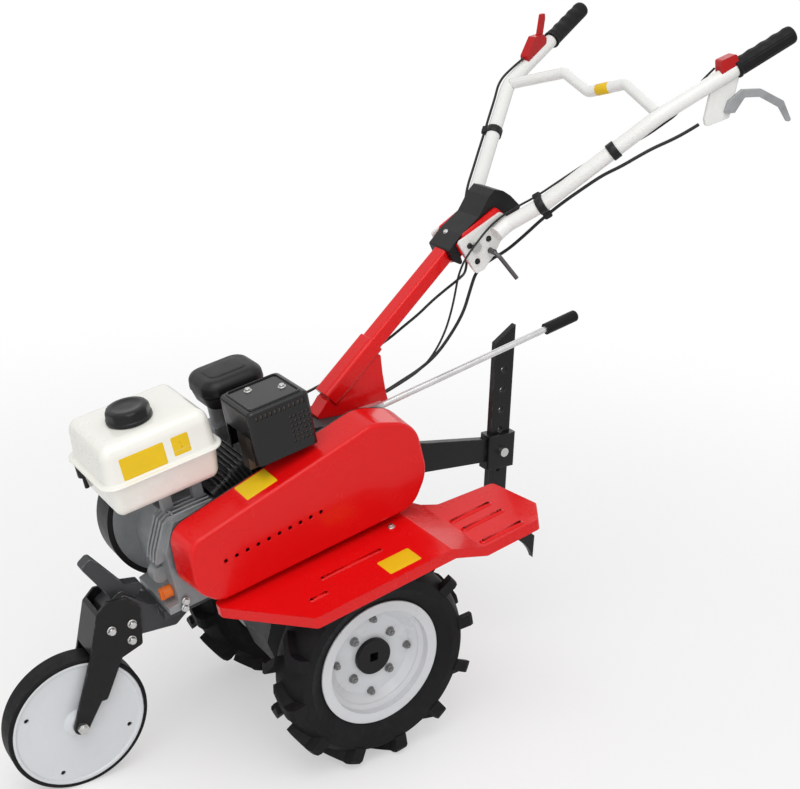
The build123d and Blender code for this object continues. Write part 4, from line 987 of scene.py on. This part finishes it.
class TRACTOR_OT_fit_bolts(bpy.types.Operator):
    """Fits the wheel nuts, the chassis's bolts and the screws of the hood and the handlebar's plates"""

    bl_idname = "tractor.fit_bolts"
    bl_label = "Bolts and nuts"

    def execute(self, context):
        nuts, bolts, screws = [], [], []
        for side, out in ((-1, to_right), (1, to_left)):
            for number in range(4):
                for radius, first, across in nut_rings:
                    angle = math.radians(first + 90 * number)
                    along, above = radius * math.cos(angle), axle_height + radius * math.sin(angle)
                    place = (along, side * disc_face, above)
                    nuts += bolt(place, out, across, nut_height, across * nut_washer, nut_stud)
            for along, height in fork_bolts:
                bolts += bolt((along, side * fork_face, height), out, *fork_head)
            for along, height in plate_screws:
                screws += bolt((along, side * plate_face, height), out, *plate_head)
            along, across, height = fender_bolt
            bolts += bolt(on_base((along, side * across, height)), base_up, *fender_head)
        bolts += bolt(hood_screw, hood_slope, *hood_head)
        for place in bed_bolts:
            bolts += bolt(on_base(place), to_left, *bed_head)
        add_piece("wheel_nuts", nuts, "nut", "wheels", 0.5)
        add_piece("chassis_bolts", bolts, "silver", "chassis", 0.5)
        add_piece("plate_screws", screws, "black", "handlebar", 0.5)
        return {"FINISHED"}


# The handlebar's left tube, from its foot to its end, in millimetres from the axle
bar_points = np.array([
    (-316, 56.8, 889.5), (-338, 56.8, 905), (-387, 100, 949), (-533, 215, 1111), (-764, 281, 1249),
])
bar_radius = 13.5
# Each clip: its stretch of tube and its share of that, its side, and a point on each cable that it holds
cable_clips = (
    (1, 0.90, 1, ((-379.5, 83.0, 957.5), (-394.5, 97.0, 925.0))),
    (2, 0.60, 1, ((-487.0, 158.5, 1043.5),)),
    (2, 0.50, -1, ((-448.0, -170.5, 1033.5),)),
)
clip_gap, clip_wall, clip_width = 0.1, 2.6, 15
block_size, block_corner, block_sunk = (15, 11), 2.5, 8
block_profile = [(1.2, 0), (0, 1), (0, 12), (1.2, 13.4), (3, 13.8)]


class TRACTOR_OT_clip_cables(bpy.types.Operator):
    """Wraps the black clips that hold the cables to the handlebar"""

    bl_idname = "tractor.clip_cables"
    bl_label = "Cable clips"

    def execute(self, context):
        wrap = band(bar_radius + clip_gap, bar_radius + clip_wall, clip_width)
        block = skin(rounded_rings(*block_size, block_corner, block_profile, sides=48))
        parts = []
        for stretch, share, side, cables in cable_clips:
            start, end = bar_points[stretch:stretch + 2] * (1, side, 1)
            along = end - start
            middle = start + along * share
            parts.append(set_on(wrap, middle, along))
            for place in cables:
                off = np.array(place) - middle
                off -= along * np.dot(off, along) / np.dot(along, along)
                reach = np.linalg.norm(off)
                parts.append(set_on(block, middle + off * (reach - block_sunk) / reach, off, along))
        add_piece("cable_clips", parts, "plastic", "handlebar", 0.8)
        return {"FINISHED"}


# A grip's profile as (reach, radius): the collar, the hold and the rounded end
grip_collar = ((0, 15.6), (0.6, 17.2), (2, 17.8), (5, 17.8), (6.5, 16.4), (8, 16.0))
grip_end = ((112, 16.2), (115, 16.2), (117.6, 15.6), (119.6, 14.4), (121, 12.0), (121.6, 8))
hold_start, hold_end, hold_radius = 10, 110, 15.8
grip_length = 122
flutes, flute_depth = 18, 0.45
fingers, finger_depth = 4, 0.7


def grip_skin():
    """A grip about Z: its profile, with cosine flutes round it and cosine finger rests along one side."""
    collar, end = np.array(grip_collar), np.array(grip_end)
    reach = np.concatenate([collar[:, 0], np.linspace(hold_start, hold_end, 51), end[:, 0]])
    profile = np.array((*grip_collar, (hold_end, hold_radius), *grip_end))
    radius = np.interp(reach, profile[:, 0], profile[:, 1])[:, None]
    reach = reach[:, None]
    angle = np.arange(72) * full_turn / 72
    hold = (reach > hold_start - 1) & (reach < hold_end + 0.5)
    flute = hold * flute_depth * np.cos(angle * flutes)
    rest = np.cos((reach - 12) / (hold_end - hold_start) * fingers * full_turn)
    radius = radius + flute + hold * finger_depth * rest * np.clip(-np.sin(angle), 0, 1)
    return skin(np.stack([radius * np.cos(angle), radius * np.sin(angle), reach + 0 * radius], -1))


class TRACTOR_OT_mould_grips(bpy.types.Operator):
    """Moulds the fluted rubber grips with their collars and rounded ends"""

    bl_idname = "tractor.mould_grips"
    bl_label = "Grips"

    def execute(self, context):
        joint, end = bar_points[-2:]
        along = (end - joint) / np.linalg.norm(end - joint)
        start = end - along * grip_length
        for side, node in ((1, "grip_left"), (-1, "grip_right")):
            grip = set_on(grip_skin(), start * (1, side, 1), along * (1, side, 1), to_left)
            add_piece(node + "_rubber", [grip], "grip", "handlebar", 1.2, [node])
        return {"FINISHED"}


# Strips on the tank's near wall, on the engine's base: place along and above, length and width
tank_strips = ((70, 290, 76, 38), (4, 293, 30, 33))
wall_lean, wall_slope, wall_across, wall_height = (0.0, 1.0, 0.075), 0.085, 80.5, 270
# Strips on the belt cover, the fender and the crossbar
cover_strip, cover_place = (60, 46, 2.5), (190.0, 110.0, 534.5)
cover_up, cover_run = (0.43, 0.096, 1.0), (-1.0, 0.0, 0.43)
fender_strip, fender_place = (62, 44, 2.5), (-253, 252, front_panel)
crossbar_middle, crossbar_bend = (-22.0, 0.0, 11.5), (-33.0, 85.5, 36.0)
crossbar_wrap, crossbar_share = (10.4, 10.8, 30), 0.42


class TRACTOR_OT_lay_strips(bpy.types.Operator):
    """Lays the plain yellow strips on the tank, belt cover, fender and crossbar"""

    bl_idname = "tractor.lay_strips"
    bl_label = "Yellow strips"

    def execute(self, context):
        strips = []
        for along, above, length, width in tank_strips:
            across = wall_across - (above - wall_height) * wall_slope
            strips.append(on_engine(set_on(pad(length, width, 3), (along, across, above), wall_lean)))
        strips.append(set_on(pad(*cover_strip), cover_place, cover_up, cover_run))
        strips.append(on_engine(pad(*fender_strip), fender_place))
        add_piece("yellow_strips", strips, "yellow", "chassis")

        joint = bar_points[3] * (1, 0, 1)
        middle, bend = joint + crossbar_middle, joint + crossbar_bend
        wrap = set_on(band(*crossbar_wrap), middle + (bend - middle) * crossbar_share, bend - middle)
        add_piece("crossbar_strip", [wrap], "yellow", "handlebar")
        return {"FINISHED"}


# Stage


def view_matrix(place, yaw, pitch, roll):
    """The camera's frame: it looks along yaw and down by pitch, and the picture is turned by roll."""
    ahead = Vector((-math.sin(yaw) * math.cos(pitch), -math.cos(yaw) * math.cos(pitch), -math.sin(pitch)))
    right = Vector((-math.cos(yaw), math.sin(yaw), 0))
    down = ahead.cross(right)
    if down.z > 0:
        down.negate()
    across = right * math.cos(roll) + down * math.sin(roll)
    below = down * math.cos(roll) - right * math.sin(roll)
    axes = Matrix((across, -below, -ahead)).transposed()
    return Matrix.Translation(place) @ axes.to_4x4()


# Lamps: the point they face, and the size and place of each, in metres
lamp_target = (0.0, 0.0, 0.5)
key_lamp, fill_lamp, back_lamp = (3.2, (1.2, 1.6, 3.6)), (2.4, (3.0, 2.6, 1.4)), (2.4, (-2.8, -2.2, 2.6))
# The floor's own glow, which the camera alone sees, grows over these metres from near to far
glow_from, glow_to, glow_near = 0.5, 2.6, 0.45
floor_colour, white = (0.93, 0.93, 0.93, 1), (1, 1, 1, 1)
world_light = 0.55


def soft_lamp(name, power, size, place):
    """A square area lamp that faces the lamps' target."""
    light = bpy.data.lights.new(name, "AREA")
    light.energy = power
    light.size = size
    lamp = bpy.data.objects.new(name, light)
    bpy.context.collection.objects.link(lamp)
    aim = (Vector(lamp_target) - Vector(place)).to_track_quat("-Z", "Y")
    lamp.matrix_world = Matrix.Translation(place) @ aim.to_matrix().to_4x4()


class TRACTOR_OT_set_stage(bpy.types.Operator):
    """Lays the pale floor, hangs the soft lamps and stands the camera at the photograph's viewpoint"""

    bl_idname = "tractor.set_stage"
    bl_label = "Stage"

    def execute(self, context):
        scene = context.scene
        stage = scene.tractor_stage
        scene.view_settings.view_transform = "Standard"

        camera = bpy.data.objects.new("Camera", bpy.data.cameras.new("Camera"))
        context.collection.objects.link(camera)
        place = Vector(stage.camera_place) + Vector((axle_x / 1000, 0, 0))
        camera.matrix_world = view_matrix(place, stage.camera_yaw, stage.camera_pitch, stage.camera_roll)
        camera.data.sensor_width = 36.0
        camera.data.lens = stage.camera_lens
        camera.data.shift_x, camera.data.shift_y = stage.camera_shift
        scene.camera = camera

        angles = np.linspace(0, 2 * math.pi, 96, endpoint=False)
        rim = np.stack([np.cos(angles), np.sin(angles), np.zeros_like(angles)], 1) * stage.floor
        mesh = bpy.data.meshes.new("Floor")
        mesh.from_pydata(rim.tolist(), [], [list(range(len(rim)))])
        floor = bpy.data.objects.new("Floor", mesh)
        context.collection.objects.link(floor)
        pale = bpy.data.materials.new("Pale floor")
        pale.use_nodes = True
        tree = pale.node_tree
        plain = tree.nodes["Principled BSDF"]
        plain.inputs["Base Color"].default_value = floor_colour
        plain.inputs["Roughness"].default_value = 0.9
        plain.inputs["Specular IOR Level"].default_value = 0.1
        glow = put(tree, "ShaderNodeEmission")
        glow.inputs["Color"].default_value = white
        where = put(tree, "ShaderNodeTexCoord").outputs["Object"]
        away = put(tree, "ShaderNodeVectorMath", operation="LENGTH")
        join(tree, where, away.inputs[0])
        seen = put(tree, "ShaderNodeLightPath").outputs["Is Camera Ray"]
        grown = ranged(tree, away.outputs["Value"], glow_from, glow_to, glow_near, 1.0)
        share = maths(tree, "MULTIPLY", seen, grown)
        blend = put(tree, "ShaderNodeMixShader")
        join(tree, share, blend.inputs[0])
        join(tree, plain.outputs[0], blend.inputs[1])
        join(tree, glow.outputs[0], blend.inputs[2])
        join(tree, blend.outputs[0], tree.nodes["Material Output"].inputs["Surface"])
        mesh.materials.append(pale)

        world = bpy.data.worlds.new("Studio")
        scene.world = world
        world.use_nodes = True
        tree = world.node_tree
        background = tree.nodes["Background"]
        rays = put(tree, "ShaderNodeLightPath")
        seen = maths(tree, "MAXIMUM", rays.outputs["Is Camera Ray"], rays.outputs["Is Transmission Ray"])
        seen = maths(tree, "MAXIMUM", seen, rays.outputs["Is Glossy Ray"])
        background.inputs["Color"].default_value = white
        join(tree, ranged(tree, seen, 0.0, 1.0, world_light, 1.0), background.inputs["Strength"])

        soft_lamp("Key", stage.key_power, *key_lamp)
        soft_lamp("Fill", stage.fill_power, *fill_lamp)
        soft_lamp("Back", stage.fill_power, *back_lamp)
        return {"FINISHED"}


class TRACTOR_PT_sidebar(bpy.types.Panel):
    """The tractor's steps and their sizes and colours"""

    bl_idname = "TRACTOR_PT_sidebar"
    bl_label = "Walk-behind tractor"
    bl_space_type = "VIEW_3D"
    bl_region_type = "UI"
    bl_category = "Tractor"

    def draw(self, context):
        for title, group, operators in panel_rows:
            box = self.layout.box()
            box.label(text=title)
            settings = getattr(context.scene, group)
            for key in settings.bl_rna.properties.keys():
                if key not in ("rna_type", "name"):
                    box.prop(settings, key)
            for item in operators:
                box.operator(item.bl_idname)


panel_rows = (
    ("Paints", "tractor_paints", (
        TRACTOR_OT_mix_finishes, TRACTOR_OT_dress_bodywork, TRACTOR_OT_press_tank,
        TRACTOR_OT_press_fenders, TRACTOR_OT_lay_strips,
    )),
    ("Metals", "tractor_metals", (
        TRACTOR_OT_dress_running_gear, TRACTOR_OT_dress_engine, TRACTOR_OT_trim_engine, TRACTOR_OT_fit_bolts,
    )),
    ("Rubber and plastic", "tractor_rubbers", (
        TRACTOR_OT_dress_handlebar, TRACTOR_OT_mould_air_cleaner, TRACTOR_OT_mould_grips,
    )),
    ("Cables", "tractor_cables", (TRACTOR_OT_lay_cables, TRACTOR_OT_clip_cables)),
    ("Stage", "tractor_stage", (TRACTOR_OT_set_stage,)),
)

settings_of = {
    "tractor_paints": TractorPaints, "tractor_metals": TractorMetals, "tractor_rubbers": TractorRubbers,
    "tractor_cables": TractorCables, "tractor_stage": TractorStage,
}

steps = (
    TRACTOR_OT_set_stage, TRACTOR_OT_mix_finishes, TRACTOR_OT_lay_cables, TRACTOR_OT_dress_bodywork,
    TRACTOR_OT_dress_running_gear, TRACTOR_OT_dress_engine, TRACTOR_OT_dress_handlebar, TRACTOR_OT_press_tank,
    TRACTOR_OT_mould_air_cleaner, TRACTOR_OT_trim_engine, TRACTOR_OT_press_fenders, TRACTOR_OT_fit_bolts,
    TRACTOR_OT_clip_cables, TRACTOR_OT_mould_grips, TRACTOR_OT_lay_strips,
)


def register():
    for name, group in settings_of.items():
        bpy.utils.register_class(group)
        setattr(bpy.types.Scene, name, bpy.props.PointerProperty(type=group))
    for item in steps + (TRACTOR_PT_sidebar,):
        bpy.utils.register_class(item)


def unregister():
    for item in reversed(steps + (TRACTOR_PT_sidebar,)):
        bpy.utils.unregister_class(item)
    for name, group in settings_of.items():
        delattr(bpy.types.Scene, name)
        bpy.utils.unregister_class(group)


def main():
    register()
    bpy.ops.tractor.set_stage()
    bpy.ops.tractor.mix_finishes()
    bpy.ops.tractor.lay_cables()
    bpy.ops.tractor.dress_bodywork()
    bpy.ops.tractor.dress_running_gear()
    bpy.ops.tractor.dress_engine()
    bpy.ops.tractor.dress_handlebar()
    bpy.ops.tractor.press_tank()
    bpy.ops.tractor.mould_air_cleaner()
    bpy.ops.tractor.trim_engine()
    bpy.ops.tractor.press_fenders()
    bpy.ops.tractor.fit_bolts()
    bpy.ops.tractor.clip_cables()
    bpy.ops.tractor.mould_grips()
    bpy.ops.tractor.lay_strips()


if __name__ == "__main__":
    main()
